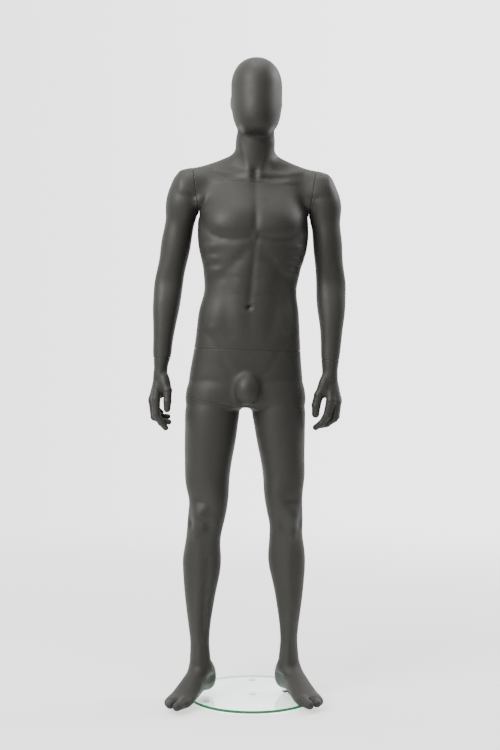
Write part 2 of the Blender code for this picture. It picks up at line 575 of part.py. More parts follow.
def rough_arm(bm, side):
    ring_mesh(bm, [oval(row(ARMS[side], z), z) for z in np.linspace(0.955, 1.50, 22)])
    capsule(bm, from_trunk(side * 0.160, -0.022, 1.470), from_trunk(side * 0.160, 0.055, 1.470), 0.014, 0.014)
    rings = []
    for k in range(1, 12):
        t = math.pi * (k / 12 - 0.5)
        r = 0.95 * math.cos(t)
        section = oval((side * 0.206, 0.020, 0.048 * r, 0.054 * r, 0.054 * r), 1.470 + 0.075 * math.sin(t))
        rings.append([from_trunk(*v) for v in section])
    ring_mesh(bm, rings)


def rough_leg(bm, side):
    heights = np.linspace(CAVITY_FLOOR, 0.945, 30)
    ring_mesh(bm, [oval(row(LEGS[side], z), z, side * row(LEGS[side], z)[5]) for z in heights])


def rough_foot(bm, side):
    rings = []
    for f in np.linspace(-0.03, 0.150, 12):
        c = row(FOOT, f)
        angles = [2 * math.pi * k / 20 for k in range(20)]
        rings.append([from_foot((f, c[0] + 0.96 * c[2] * math.cos(t),
                                 c[1] + 0.96 * (c[4] if math.sin(t) > 0 else c[3]) * math.sin(t)), side)
                      for t in angles])
    ring_mesh(bm, rings)
    for a, b, ra, rb in (((-0.030, 0, 0.070), (-0.030, 0, 0.055), 0.026, 0.026),
                         ((0.140, -0.0215, 0.0275), (0.178, -0.0190, 0.0255), 0.0140, 0.0115),
                         ((0.138, 0.0090, 0.0265), (0.168, 0.0090, 0.0245), 0.0125, 0.0105),
                         ((0.130, 0.0260, 0.0255), (0.151, 0.0250, 0.0235), 0.0120, 0.0100)):
        capsule(bm, from_foot(a, side), from_foot(b, side), ra, rb)


def rough_hand(bm, side):
    for joints, radii in FINGERS[side]:
        for i in range(len(joints) - 1):
            capsule(bm, from_hand(joints[i], side), from_hand(joints[i + 1], side),
                    0.95 * radii[i], 0.95 * radii[i + 1])
    for a, b, radius in (((-0.008, 0.020, 0.034), (-0.008, 0.020, 0.058), 0.011),
                         ((-0.002, -0.022, 0.035), (-0.002, -0.022, 0.078), 0.012)):
        capsule(bm, from_hand(a, side), from_hand(b, side), radius, radius)
    ring_mesh(bm, [oval(row(ARMS[side], z), z) for z in np.linspace(0.955, 1.06, 5)])


def link(mesh, name):
    ob = bpy.data.objects.new(name, mesh)
    bpy.context.scene.collection.objects.link(ob)
    return ob


def mesh_object(name, bm):
    bmesh.ops.recalc_face_normals(bm, faces=bm.faces)
    mesh = bpy.data.meshes.new(name)
    bm.to_mesh(mesh)
    bm.free()
    return link(mesh, name)


def apply(ob):
    """Bakes an object's modifiers into its mesh."""
    graph = bpy.context.evaluated_depsgraph_get()
    mesh = bpy.data.meshes.new_from_object(ob.evaluated_get(graph))
    ob.modifiers.clear()
    ob.data = mesh
    return ob


def settled(ob, form, rounds):
    co = np.empty(len(ob.data.vertices) * 3)
    ob.data.vertices.foreach_get("co", co)
    co = settle(co.reshape(-1, 3), form, rounds=rounds)
    ob.data.vertices.foreach_set("co", co.ravel())
    ob.data.update()


def grown(name, bm, form, voxel, faces):
    """One skin round the rough solids, drawn onto the form and thinned to a number of triangles."""
    ob = mesh_object(name, bm)
    remesh = ob.modifiers.new("Remesh", "REMESH")
    remesh.mode = "VOXEL"
    remesh.voxel_size = voxel
    apply(ob)
    settled(ob, form, 5)
    for _ in range(2):
        relax = ob.modifiers.new("Smooth", "SMOOTH")
        relax.factor = 0.5
        relax.iterations = 3
        apply(ob)
        settled(ob, form, 1)
    thin = ob.modifiers.new("Decimate", "DECIMATE")
    thin.ratio = faces / (2.0 * len(ob.data.polygons))
    return apply(ob)


def cavity(p):
    """The hollow inside the figure; the feet stay solid."""
    return np.maximum(body(p) + WALL, CAVITY_FLOOR - p[:, 2])


# ---------------------------------------------------------------- cutting tools
def cut(ob, tool, how="DIFFERENCE", solver="EXACT"):
    boolean = ob.modifiers.new("Boolean", "BOOLEAN")
    boolean.operation = how
    boolean.solver = solver
    boolean.object = tool
    apply(ob)
    return ob


def carve(ob, tool, how="DIFFERENCE"):
    """A cut through a skin or a free-form board, which the exact solver tears; both bodies are closed."""
    return cut(ob, tool, how, "MANIFOLD")


def prism(points, y_low=-0.45, y_high=0.45):
    """A solid with the given outline in X and Z, through the figure from front to back."""
    bm = bmesh.new()
    ring_mesh(bm, [[(x, y, z) for x, z in points] for y in (y_low, y_high)])
    return mesh_object("tool", bm)


def cylinder(centre, axis, radius, low, high, count=16):
    bm = bmesh.new()
    frame = axis_frame(centre, axis)
    angles = [2 * math.pi * i / count for i in range(count)]
    ring_mesh(bm, [[frame @ Vector((radius * math.cos(t), radius * math.sin(t), s)) for t in angles]
                   for s in (low, high)])
    return mesh_object("tool", bm)


def largest(ob):
    """Keeps an object's largest body, without the slivers that a cut can leave."""
    bm = bmesh.new()
    bm.from_mesh(ob.data)
    left = set(bm.verts)
    bodies = []
    while left:
        seed = [left.pop()]
        found = set(seed)
        while seed:
            vert = seed.pop()
            near = {edge.other_vert(vert) for edge in vert.link_edges} & left
            left -= near
            found |= near
            seed.extend(near)
        bodies.append(found)
    keep = max(bodies, key=len)
    bmesh.ops.delete(bm, geom=[vert for vert in bm.verts if vert not in keep], context="VERTS")
    bm.to_mesh(ob.data)
    bm.free()


def drop(*tools):
    for tool in tools:
        bpy.data.objects.remove(tool, do_unlink=True)


def copy_of(ob, name):
    return link(ob.data.copy(), name)


def seam_height(x, slope, centre):
    return centre.z - slope * (x - centre.x)


def waist_tool(up, ease):
    """Everything above the waist seam, or below it."""
    far = 2.2 if up else -0.3
    shift = ease if up else -ease
    low = [(x, seam_height(x, WAIST_SLOPE, WAIST) + shift) for x in (-0.6, 0.6)]
    return prism(low + [(0.6, far), (-0.6, far)])


def thigh_tool(ease):
    """Everything of the right leg below the thigh seam."""
    high = [(x, seam_height(x, -THIGH_SLOPE, THIGH) - ease) for x in (-0.6, CROTCH_X)]
    return prism(high + [(CROTCH_X, -0.3), (-0.6, -0.3)])


def arm_tool(side, ease, bottom):
    """Everything of one arm, outside the shoulder seam and the gap beside the trunk."""
    (x0, z0), (x1, z1) = SHOULDER_LOW[side], SHOULDER_HIGH[side]
    top = 1.70
    line = [(x1 + (x1 - x0) / (z1 - z0) * (top - z1), top), (x0, z0)] + ARM_GAP[side]
    line.append((line[-1][0], bottom))
    line = [(x + side * ease, z) for x, z in line]
    return prism(line + [(side * 0.6, bottom), (side * 0.6, top)])


def swing_tool(side):
    """The round space outside a shoulder seam in which the arm's top turns."""
    frame = shoulder_frame(side)
    return cylinder(frame.translation, frame.to_3x3().col[2], SWING_RADIUS, -SEAM, 0.03, 48)


# ---------------------------------------------------------------- fittings
def axis_frame(centre, axis, across=(0, 1, 0)):
    """A frame whose Z is the axis and whose Y is as near as can be to `across`."""
    z = Vector(axis).normalized()
    x = Vector(across).cross(z).normalized()
    y = z.cross(x)
    frame = Matrix((x, y, z)).transposed().to_4x4()
    frame.translation = Vector(centre)
    return frame


def turned(name, frame, profile, hollow=False, count=16):
    """Rings along the frame's Z, each (kind, size, distance); a square ring's size is half its width."""
    rings = []
    for kind, size, s in profile:
        ring = []
        for i in range(count):
            t = 2 * math.pi * i / count
            reach = size / max(abs(math.cos(t)), abs(math.sin(t))) if kind == "square" else size
            ring.append(frame @ Vector((reach * math.cos(t), reach * math.sin(t), s)))
        rings.append(ring)
    bm = bmesh.new()
    ring_mesh(bm, rings, hollow)
    return mesh_object(name, bm)


def outline(frame, inset, count=28, limit=0.26):
    """How far the figure's section reaches each way in the frame's XY plane, less the inset."""
    reach = np.linspace(0.004, limit, 500)
    found = []
    for i in range(count):
        t = 2 * math.pi * i / count
        line = [frame @ Vector((r * math.cos(t), r * math.sin(t), 0)) for r in reach]
        d = body(np.array([tuple(point) for point in line])) + inset
        found.append(reach[int(np.argmax(d > 0))] if d.max() > 0 else limit)
    return found


def board(name, centre_frame, near, far, inset, bore, count=24, limit=0.26):
    """A plate that fills the shell between two distances from the seam, with a round bore or none."""
    middle = centre_frame @ Matrix.Translation((0, 0, 0.5 * (near + far)))
    a = outline(centre_frame @ Matrix.Translation((0, 0, near)), inset, count, limit)
    b = outline(centre_frame @ Matrix.Translation((0, 0, far)), inset, count, limit)
    c = outline(middle, inset, count, limit)
    reach = [min(values) for values in zip(a, b, c)]
    angles = [2 * math.pi * i / count for i in range(count)]
    edge = [[centre_frame @ Vector((r * math.cos(t), r * math.sin(t), s)) for r, t in zip(reach, angles)]
            for s in (near, far)]
    bm = bmesh.new()
    if bore:
        hole = [[centre_frame @ Vector((bore * math.cos(t), bore * math.sin(t), s)) for t in angles]
                for s in (far, near)]
        ring_mesh(bm, edge + hole, hollow=True)
    else:
        ring_mesh(bm, edge)
    return mesh_object(name, bm)


def screw(name, frame, x, y, head_near, head_far, tip, head=0.0034, shank=0.0018):
    """A pan head screw: its head between two distances from the seam, its shank running to the tip."""
    at = frame @ Matrix.Translation((x, y, 0))
    profile = [("round", 0.75 * head, head_near), ("round", head, 0.6 * head_near + 0.4 * head_far),
               ("round", head, head_far), ("round", shank, head_far), ("round", shank, tip)]
    return turned(name, at, profile, count=8)


def drill(ob, frame, points, radius, low, high, count=10):
    for x, y in points:
        tool = cylinder(frame @ Vector((x, y, 0)), frame.to_3x3().col[2], radius, low, high, count)
        carve(ob, tool)
        drop(tool)


# ---------------------------------------------------------------- building
def material(name, colour, roughness, metallic=0.0, transmission=0.0):
    made = bpy.data.materials.new(name)
    made.use_nodes = True
    shader = made.node_tree.nodes["Principled BSDF"]
    shader.inputs["Base Color"].default_value = (*colour, 1.0)
    shader.inputs["Roughness"].default_value = roughness
    shader.inputs["Metallic"].default_value = metallic
    shader.inputs["Transmission Weight"].default_value = transmission
    return made


FINISHES = {
    "skin": (SKIN_COLOUR, 0.55, 0.0, 0.0),
    "board": (MDF_COLOUR, 0.80, 0.0, 0.0),
    "steel": (STEEL_COLOUR, 0.35, 1.0, 0.0),
    "zinc": (ZINC_COLOUR, 0.40, 1.0, 0.0),
    "chrome": (CHROME_COLOUR, 0.12, 1.0, 0.0),
    "rubber": (RUBBER_COLOUR, 0.35, 0.0, 0.9),
    "glass": (CLEAR_COLOUR, 0.05, 0.0, 0.9),
}


def finish(ob, kind, smooth=30.0):
    colour, roughness, metallic, transmission = FINISHES[kind]
    ob.data.materials.clear()
    ob.data.materials.append(material(ob.name, colour, roughness, metallic, transmission))
    for polygon in ob.data.polygons:
        polygon.use_smooth = True
    ob.data.set_sharp_from_angle(angle=math.radians(smooth))
    return ob


def clear_scene():
    for ob in list(bpy.data.objects):
        bpy.data.objects.remove(ob, do_unlink=True)


def figure():
    """The outer skin of everything but the hands, and the hollow inside it."""
    bm = bmesh.new()
    rough_trunk(bm)
    rough_head(bm)
    for side in (-1, 1):
        rough_arm(bm, side)
        rough_leg(bm, side)
        rough_foot(bm, side)
    skin = grown("skin", bm, body, SKIN_VOXEL, SKIN_FACES)
    bm = bmesh.new()
    rough_trunk(bm)
    rough_head(bm)
    for side in (-1, 1):
        rough_arm(bm, side)
        rough_leg(bm, side)
    hollow = grown("hollow", bm, cavity, HOLLOW_VOXEL, HOLLOW_FACES)
    return skin, hollow


def shells():
    skin, hollow = figure()
    arms = {side: arm_tool(side, -SEAM, 0.70) for side in (-1, 1)}
    torso = copy_of(skin, "torso_shell")
    pelvis = copy_of(skin, "pelvis_left_leg_shell")
    for side in (-1, 1):
        carve(torso, arms[side])
        carve(pelvis, arms[side])
    for side in (-1, 1):
        swing = swing_tool(side)
        carve(torso, swing)
        drop(swing)
    below, above = waist_tool(False, -SEAM), waist_tool(True, -SEAM)
    carve(torso, below)
    carve(pelvis, above)
    leg_space = thigh_tool(-SEAM)
    carve(pelvis, leg_space)
    leg = copy_of(skin, "right_leg_shell")
    leg_keep = thigh_tool(SEAM)
    carve(leg, leg_keep, "INTERSECT")
    pieces = [torso, pelvis, leg]
    for side, name in ((-1, "right_arm_shell"), (1, "left_arm_shell")):
        arm_piece = copy_of(skin, name)
        keep = arm_tool(side, SEAM, WRIST_SEAM[side] + SEAM)
        carve(arm_piece, keep, "INTERSECT")
        drop(keep)
        pieces.append(arm_piece)
    for piece in pieces:
        carve(piece, hollow)
    bore = cylinder((*SPIGOT, 0), (0, 0, 1), TUBE_OUTER + FIT, 0.0, CAVITY_FLOOR + 0.02, 20)
    carve(pelvis, bore)
    drop(skin, hollow, below, above, leg_space, leg_keep, bore, arms[-1], arms[1])
    for piece in pieces:
        largest(piece)
        finish(piece, "skin", 40.0)


def hands():
    for side, name in ((-1, "right_hand"), (1, "left_hand")):
        bm = bmesh.new()
        rough_hand(bm, side)
        hand_ob = grown(name, bm, body, HAND_VOXEL, HAND_FACES)
        top = WRIST_SEAM[side] - SEAM
        above = prism([(-0.6, top), (0.6, top), (0.6, 1.3), (-0.6, 1.3)])
        cut(hand_ob, above)
        frame = wrist_frame(side)
        up = frame.to_3x3().col[2]
        pocket = cylinder(frame.translation, up, 0.0104, -0.0039, 0.01, 16)
        cut(hand_ob, pocket)
        bore = cylinder(frame.translation, up, 0.0043, -0.031, 0.01, 12)
        cut(hand_ob, bore)
        drop(above, pocket, bore)
        finish(hand_ob, "skin", 40.0)


def waist_frame():
    return axis_frame(WAIST, (WAIST_SLOPE, 0, 1))


def thigh_frame():
    return axis_frame(THIGH, (-THIGH_SLOPE, 0, 1))


def shoulder_frame(side):
    (x0, z0), (x1, z1) = SHOULDER_LOW[side], SHOULDER_HIGH[side]
    along = Vector((x1 - x0, 0, z1 - z0)).normalized()
    outward = Vector((along.z, 0, -along.x)) * side
    middle = Vector(((x0 + x1) / 2, SHOULDER_DEEP, (z0 + z1) / 2))
    return axis_frame(middle, outward)


def wrist_frame(side):
    c = row(ARMS[side], WRIST_SEAM[side])
    return axis_frame((c[0], c[1] - 0.001, WRIST_SEAM[side]), (0, 0, 1))


def waist_fittings():
    frame = waist_frame()
    dowels = [(-0.105, 0.0), (0.105, 0.0)]
    screws = [(0.0, -0.026), (0.0, 0.026)]
    top = board("torso_board", frame, BOARD_NEAR, BOARD_FAR, INSET, SOCKET_RADIUS + FIT)
    drill(top, frame, dowels, 0.0044, 0.0, 0.03)
    drill(top, frame, screws, 0.0021, 0.0, 0.03)
    finish(top, "board")
    low = board("pelvis_board", frame, -BOARD_FAR, -BOARD_NEAR, INSET, 0)
    drill(low, frame, dowels, 0.0043, -0.03, 0.0)
    drill(low, frame, screws, 0.0021, -0.03, 0.0)
    finish(low, "board")
    socket = turned("waist_socket", frame, [
        ("round", 0.035, FLANGE_NEAR), ("round", 0.035, FLANGE_FAR), ("round", SOCKET_RADIUS, FLANGE_FAR),
        ("round", SOCKET_RADIUS, 0.062), ("round", SOCKET_BORE, 0.062), ("round", SOCKET_BORE, FLANGE_NEAR),
    ], hollow=True, count=20)
    drill(socket, frame, screws, 0.0022, 0.0, 0.01)
    finish(socket, "steel")
    spigot = turned("waist_spigot", frame, [
        ("round", 0.035, -FLANGE_FAR), ("round", 0.035, -FLANGE_NEAR), ("round", PEG_RADIUS, -FLANGE_NEAR),
        ("round", PEG_RADIUS, 0.052), ("round", PEG_RADIUS - 0.003, 0.055),
    ], count=20)
    drill(spigot, frame, screws, 0.0022, -0.01, 0.0)
    finish(spigot, "steel")
    for (x, y), side in zip(dowels, ("right", "left")):
        at = frame @ Matrix.Translation((x, y, 0))
        profile = [("round", 0.0040, -0.0175), ("round", 0.0040, 0.0145), ("round", 0.0025, 0.0165)]
        finish(turned("waist_dowel_" + side, at, profile, count=12), "steel")
    for (x, y), place in zip(screws, ("front", "back")):
        finish(screw("socket_screw_" + place, frame, x, y, HEAD_NEAR, HEAD_FAR, 0.0170), "zinc")
        finish(screw("spigot_screw_" + place, frame, x, y, -HEAD_NEAR, -HEAD_FAR, -0.0170), "zinc")


def shoulder_fittings(side, word):
    frame = shoulder_frame(side)
    inner_screws = [(0.0, -0.0225), (0.0, 0.0225)]
    outer_screws = [(-0.0215, 0.0), (0.0215, 0.0)]
    near_board = board(word + "_shoulder_board", frame, -0.0160, -BOARD_NEAR, INSET, 0.0154, 28, 0.050)
    drill(near_board, frame, inner_screws, 0.0021, -0.03, 0.0)
    finish(near_board, "board")
    ring = turned(word + "_shoulder_ring", frame, [
        ("round", 0.029, -FLANGE_FAR), ("round", 0.029, -FLANGE_NEAR),
        ("round", 0.0133, -FLANGE_NEAR), ("round", 0.0133, -FLANGE_FAR)], hollow=True)
    drill(ring, frame, inner_screws, 0.0022, -0.01, 0.0)
    finish(ring, "steel")
    finish(turned(word + "_shoulder_swivel", frame, [
        ("round", 0.0190, -0.0190), ("round", 0.0190, -0.0163), ("round", 0.0150, -0.0163),
        ("round", 0.0150, -0.0060), ("round", 0.0130, -0.0060), ("round", 0.0130, -0.0010),
        ("square", SQUARE_HOLE, -0.0010), ("square", SQUARE_HOLE, -0.0190)], hollow=True), "zinc")
    arm_board = board(word + "_arm_board", frame, BOARD_NEAR, 0.0160, INSET + 0.001, 0, 24, 0.046)
    drill(arm_board, frame, outer_screws, 0.0021, 0.0, 0.03)
    finish(arm_board, "board")
    spigot = turned(word + "_arm_spigot", frame, [
        ("round", 0.028, FLANGE_FAR), ("round", 0.028, FLANGE_NEAR), ("square", SQUARE_PEG, FLANGE_NEAR),
        ("square", SQUARE_PEG, -0.030), ("square", SQUARE_PEG - 0.002, -0.032)])
    drill(spigot, frame, outer_screws, 0.0022, 0.0, 0.01)
    finish(spigot, "steel")
    for (x, y), place in zip(inner_screws, ("front", "back")):
        finish(screw(word + "_ring_screw_" + place, frame, x, y, -HEAD_NEAR, -HEAD_FAR, -0.0150), "zinc")
    for (x, y), place in zip(outer_screws, ("low", "high")):
        finish(screw(word + "_arm_screw_" + place, frame, x, y, HEAD_NEAR, HEAD_FAR, 0.0150), "zinc")


def wrist_fittings(side, word):
    frame = wrist_frame(side)
    plug = board(word + "_forearm_plug", frame, 0.0050, 0.0190, INSET, 0.0088, count=20)
    finish(plug, "board")
    finish(turned(word + "_wrist_swivel", frame, [
        ("round", 0.0115, 0.0215), ("round", 0.0115, 0.0193), ("round", 0.0085, 0.0193),
        ("round", 0.0085, 0.0047), ("round", 0.0110, 0.0047), ("round", 0.0110, 0.0012),
        ("square", WRIST_HOLE, 0.0012), ("square", WRIST_HOLE, 0.0215)], hollow=True), "zinc")
    finish(turned(word + "_hand_stud", frame, [
        ("round", 0.0040, -0.0300), ("round", 0.0040, -0.0036), ("round", 0.0100, -0.0036),
        ("round", 0.0100, -0.0008), ("square", WRIST_PEG, -0.0008), ("square", WRIST_PEG, 0.0225),
        ("square", WRIST_PEG - 0.0015, 0.0240)]), "steel")


def thigh_fittings():
    frame = thigh_frame()
    screws = [(0.0, -0.024), (0.0, 0.024)]
    top = board("thigh_board", frame, BOARD_NEAR, BOARD_FAR, INSET, SOCKET_RADIUS + FIT)
    drill(top, frame, screws, 0.0021, 0.0, 0.03)
    finish(top, "board")
    low = board("leg_board", frame, -BOARD_FAR, -BOARD_NEAR, INSET + 0.0015, 0)
    drill(low, frame, screws, 0.0021, -0.03, 0.0)
    finish(low, "board")
    socket = turned("thigh_socket", frame, [
        ("round", 0.031, FLANGE_NEAR), ("round", 0.031, FLANGE_FAR), ("round", SOCKET_RADIUS, FLANGE_FAR),
        ("round", SOCKET_RADIUS, 0.050), ("round", SOCKET_BORE, 0.050), ("round", SOCKET_BORE, FLANGE_NEAR),
    ], hollow=True, count=20)
    drill(socket, frame, screws, 0.0022, 0.0, 0.01)
    finish(socket, "steel")
    spigot = turned("leg_spigot", frame, [
        ("round", 0.031, -FLANGE_FAR), ("round", 0.031, -FLANGE_NEAR), ("round", PEG_RADIUS, -FLANGE_NEAR),
        ("round", PEG_RADIUS, 0.042), ("round", PEG_RADIUS - 0.003, 0.045),
    ], count=20)
    drill(spigot, frame, screws, 0.0022, -0.01, 0.0)
    finish(spigot, "steel")
    for (x, y), place in zip(screws, ("front", "back")):
        finish(screw("thigh_screw_" + place, frame, x, y, HEAD_NEAR, HEAD_FAR, 0.0170), "zinc")
        finish(screw("leg_screw_" + place, frame, x, y, -HEAD_NEAR, -HEAD_FAR, -0.0170), "zinc")


def base():
    upright = axis_frame((*SPIGOT, 0), (0, 0, 1))
    glass = cylinder((0, 0, 0), (0, 0, 1), GLASS_RADIUS, GLASS_BOTTOM, GLASS_TOP, 72)
    glass.name = "glass_disc"
    drill(glass, upright, [(0, 0)], 0.0070, 0.0, 0.02, 20)
    finish(glass, "glass")
    finish(turned("base_gasket", upright, [
        ("round", 0.023, GLASS_TOP + 0.0001), ("round", 0.023, GLASS_TOP + 0.0007),
        ("round", 0.008, GLASS_TOP + 0.0007), ("round", 0.008, GLASS_TOP + 0.0001)], hollow=True, count=20),
        "rubber")
    low = GLASS_TOP + 0.0009
    flange = turned("base_flange", upright, [
        ("round", 0.0250, low), ("round", 0.0250, low + 0.0028), ("round", 0.0235, low + 0.0040),
        ("round", 0.0105, low + 0.0040), ("round", 0.0105, COLLAR_TOP),
        ("round", ROD_RADIUS + 0.0002, COLLAR_TOP),
        ("round", ROD_RADIUS + 0.0002, low)], hollow=True, count=24)
    side_hole = cylinder((*SPIGOT, COLLAR_SCREW), (-1, 0, 0), 0.0022, 0.004, 0.02, 10)
    cut(flange, side_hole)
    drop(side_hole)
    finish(flange, "chrome")
    grub = axis_frame((*SPIGOT, COLLAR_SCREW), (-1, 0, 0))
    finish(turned("collar_screw", grub, [
        ("round", 0.0019, ROD_RADIUS + 0.0003), ("round", 0.0019, 0.0103)], count=10), "zinc")
    rod = cylinder((*SPIGOT, 0), (0, 0, 1), ROD_RADIUS, GLASS_TOP + 0.0009, ROD_TOP, 16)
    rod.name = "spigot_rod"
    drill(rod, upright, [(0, 0)], 0.0042, 0.0, 0.0350, 12)
    finish(rod, "steel")
    finish(turned("base_bolt", upright, [
        ("round", 0.0085, 0.0008), ("round", 0.0095, 0.0016), ("round", 0.0095, 0.0038),
        ("round", 0.0040, 0.0038), ("round", 0.0040, 0.0335)]), "zinc")
    finish(turned("foot_socket_tube", upright, [
        ("round", TUBE_OUTER, TUBE_BOTTOM), ("round", TUBE_OUTER, TUBE_TOP),
        ("round", ROD_RADIUS + FIT, TUBE_TOP), ("round", ROD_RADIUS + FIT, TUBE_BOTTOM)],
        hollow=True), "steel")
    places = {"pad_centre": (0.0, 0.0)}
    for k in range(3):
        t = math.radians(90 + 120 * k)
        places[f"pad_{k + 1}"] = (PAD_RING * math.cos(t), PAD_RING * math.sin(t))
    for name, (x, y) in places.items():
        pad = cylinder((x, y, 0), (0, 0, 1), PAD_RADIUS, 0.0, PAD_HEIGHT, 20)
        pad.name = name
        finish(pad, "rubber")


def turn_about(point, names):
    """Puts the origins of one moving body's pieces on its joint's axis."""
    for name in names:
        ob = bpy.data.objects[name]
        ob.data.transform(Matrix.Translation(-point))
        ob.location = point


def joint_origins():
    spigot = Vector((*SPIGOT, 0))
    leg_names = ["right_leg_shell", "leg_board", "leg_spigot", "leg_screw_front", "leg_screw_back"]
    figure_names = [ob.name for ob in bpy.data.objects if ob.name.startswith(
        ("pelvis", "waist_spigot", "waist_dowel", "spigot_screw", "thigh", "foot"))]
    torso_names = [ob.name for ob in bpy.data.objects if ob.name.startswith(
        ("torso", "waist_socket", "socket_screw")) or "_ring" in ob.name or "_shoulder_board" in ob.name]
    turn_about(spigot, figure_names)
    turn_about(WAIST, torso_names)
    turn_about(THIGH, leg_names)
    for side, word in ((-1, "right"), (1, "left")):
        arm_names = ["_shoulder_swivel", "_arm_shell", "_arm_board", "_arm_spigot", "_arm_screw_low",
                     "_arm_screw_high", "_forearm_plug"]
        turn_about(shoulder_frame(side).translation, [word + name for name in arm_names])
        hand_names = ["_wrist_swivel", "_hand", "_hand_stud"]
        turn_about(wrist_frame(side).translation, [word + name for name in hand_names])


clear_scene()
shells()
hands()
waist_fittings()
for side_, word_ in ((-1, "right"), (1, "left")):
    shoulder_fittings(side_, word_)
    wrist_fittings(side_, word_)
thigh_fittings()
base()
joint_origins()
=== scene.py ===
"""The looks of a full body shop mannequin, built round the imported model. The form's own frame is the model's:
metres, +Z up, the figure faces -Y, the origin on the floor under the middle of the glass base."""
import json
import math

import bmesh
import bpy
import numpy as np
from mathutils import Matrix, Vector

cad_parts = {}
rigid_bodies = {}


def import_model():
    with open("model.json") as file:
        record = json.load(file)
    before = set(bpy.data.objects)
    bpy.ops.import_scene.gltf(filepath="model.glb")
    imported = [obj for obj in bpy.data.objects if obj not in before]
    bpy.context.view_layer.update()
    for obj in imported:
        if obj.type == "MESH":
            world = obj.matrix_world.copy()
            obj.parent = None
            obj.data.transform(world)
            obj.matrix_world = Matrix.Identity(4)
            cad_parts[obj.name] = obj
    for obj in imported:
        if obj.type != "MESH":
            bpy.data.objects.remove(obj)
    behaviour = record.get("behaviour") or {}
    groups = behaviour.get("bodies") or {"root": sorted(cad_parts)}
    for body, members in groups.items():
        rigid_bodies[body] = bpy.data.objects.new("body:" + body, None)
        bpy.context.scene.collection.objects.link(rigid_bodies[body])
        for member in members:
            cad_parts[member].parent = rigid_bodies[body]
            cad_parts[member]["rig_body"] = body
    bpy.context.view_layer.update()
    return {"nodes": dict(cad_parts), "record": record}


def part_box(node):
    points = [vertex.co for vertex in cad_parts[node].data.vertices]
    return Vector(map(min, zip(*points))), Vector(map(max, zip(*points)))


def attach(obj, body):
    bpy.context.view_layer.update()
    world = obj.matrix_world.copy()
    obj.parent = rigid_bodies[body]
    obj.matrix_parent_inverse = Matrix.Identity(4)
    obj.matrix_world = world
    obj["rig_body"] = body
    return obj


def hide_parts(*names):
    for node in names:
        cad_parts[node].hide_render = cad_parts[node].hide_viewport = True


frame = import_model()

# ---------------------------------------------------------------- driving dimensions
WALL = 0.0050                    # thickness of the shells
SEAM = 0.0005                    # each piece stands this far back from its seam plane
FIT = 0.0003                     # gap between neighbouring fittings

GLASS_RADIUS = 0.190
GLASS_BOTTOM, GLASS_TOP = 0.0042, 0.0122
PAD_RADIUS, PAD_HEIGHT = 0.010, 0.0040
SPIGOT = (0.1116, 0.0090)        # where the foot spigot stands
ROD_RADIUS, ROD_TOP = 0.0060, 0.2000
COLLAR_TOP = 0.0215              # height of the flange's collar
TUBE_OUTER = 0.00825             # radius of the tube in the foot
CAVITY_FLOOR = 0.085             # the feet are solid below this height
SOLE = 0.0134                    # the feet's flat undersides, just clear of the glass

WAIST_SLOPE = 0.0257             # how far the waist seam drops to the figure's left, per metre
WAIST = Vector((-0.0145, 0.004, 1.0347))
THIGH_SLOPE = -0.2243            # how the thigh seam drops towards the crotch, per metre of X
THIGH = Vector((-0.1180, 0.006, 0.8810))
SHOULDER_LOW = {-1: (-0.1591, 1.4480), 1: (0.1700, 1.4406)}    # X and Z of each shoulder seam's ends
SHOULDER_HIGH = {-1: (-0.1751, 1.5692), 1: (0.1878, 1.5633)}
SHOULDER_DEEP = 0.022
WRIST_SEAM = {-1: 1.0103, 1: 1.0044}
SWING_RADIUS = 0.0805            # the round space at each shoulder that the arm turns in
ARM_GAP = {  # X and Z down the middle of the gap between each arm and the trunk
    -1: [(-0.1600, 1.4400), (-0.1666, 1.4244), (-0.1708, 1.3712), (-0.1726, 1.3000), (-0.1754, 1.2290),
         (-0.1872, 1.1580), (-0.1981, 1.0870), (-0.2086, 1.0160)],
    1: [(0.1690, 1.4330), (0.1720, 1.4244), (0.1728, 1.3712), (0.1687, 1.3000), (0.1640, 1.2500),
        (0.1652, 1.1580), (0.1718, 1.0870), (0.1734, 1.0160)],
}
CROTCH_X = -0.0190               # the right leg lies beyond this
SIDES = {-1: "right", 1: "left"}


# ---------------------------------------------------------------- field tools
def spline(rows):
    """Natural cubic spline through rows of (position, value, value, ...); constant past the ends."""
    rows = np.array(sorted(rows), float)
    t, y = rows[:, 0], rows[:, 1:]
    n, step = len(t), np.diff(t)
    matrix, right = np.eye(n), np.zeros_like(y)
    for i in range(1, n - 1):
        matrix[i, i - 1:i + 2] = step[i - 1], 2 * (step[i - 1] + step[i]), step[i]
        right[i] = 6 * ((y[i + 1] - y[i]) / step[i] - (y[i] - y[i - 1]) / step[i - 1])
    bend = np.linalg.solve(matrix, right)

    def at(x):
        x = np.clip(x, t[0], t[-1])
        i = np.clip(np.searchsorted(t, x) - 1, 0, n - 2)
        h = step[i][:, None]
        a = (t[i + 1] - x)[:, None] / h
        b = 1 - a
        return a * y[i] + b * y[i + 1] + ((a**3 - a) * bend[i] + (b**3 - b) * bend[i + 1]) * h * h / 6

    return at


def smooth_min(a, b, reach):
    """The union of two distances, filleted where they differ by less than the reach."""
    h = np.maximum(reach - np.abs(a - b), 0.0) / reach
    return np.minimum(a, b) - h * h * reach * 0.25


def ease(t):
    """From 0 to 1 with no corner at either end."""
    t = np.clip(t, 0, 1)
    return t * t * (3 - 2 * t)


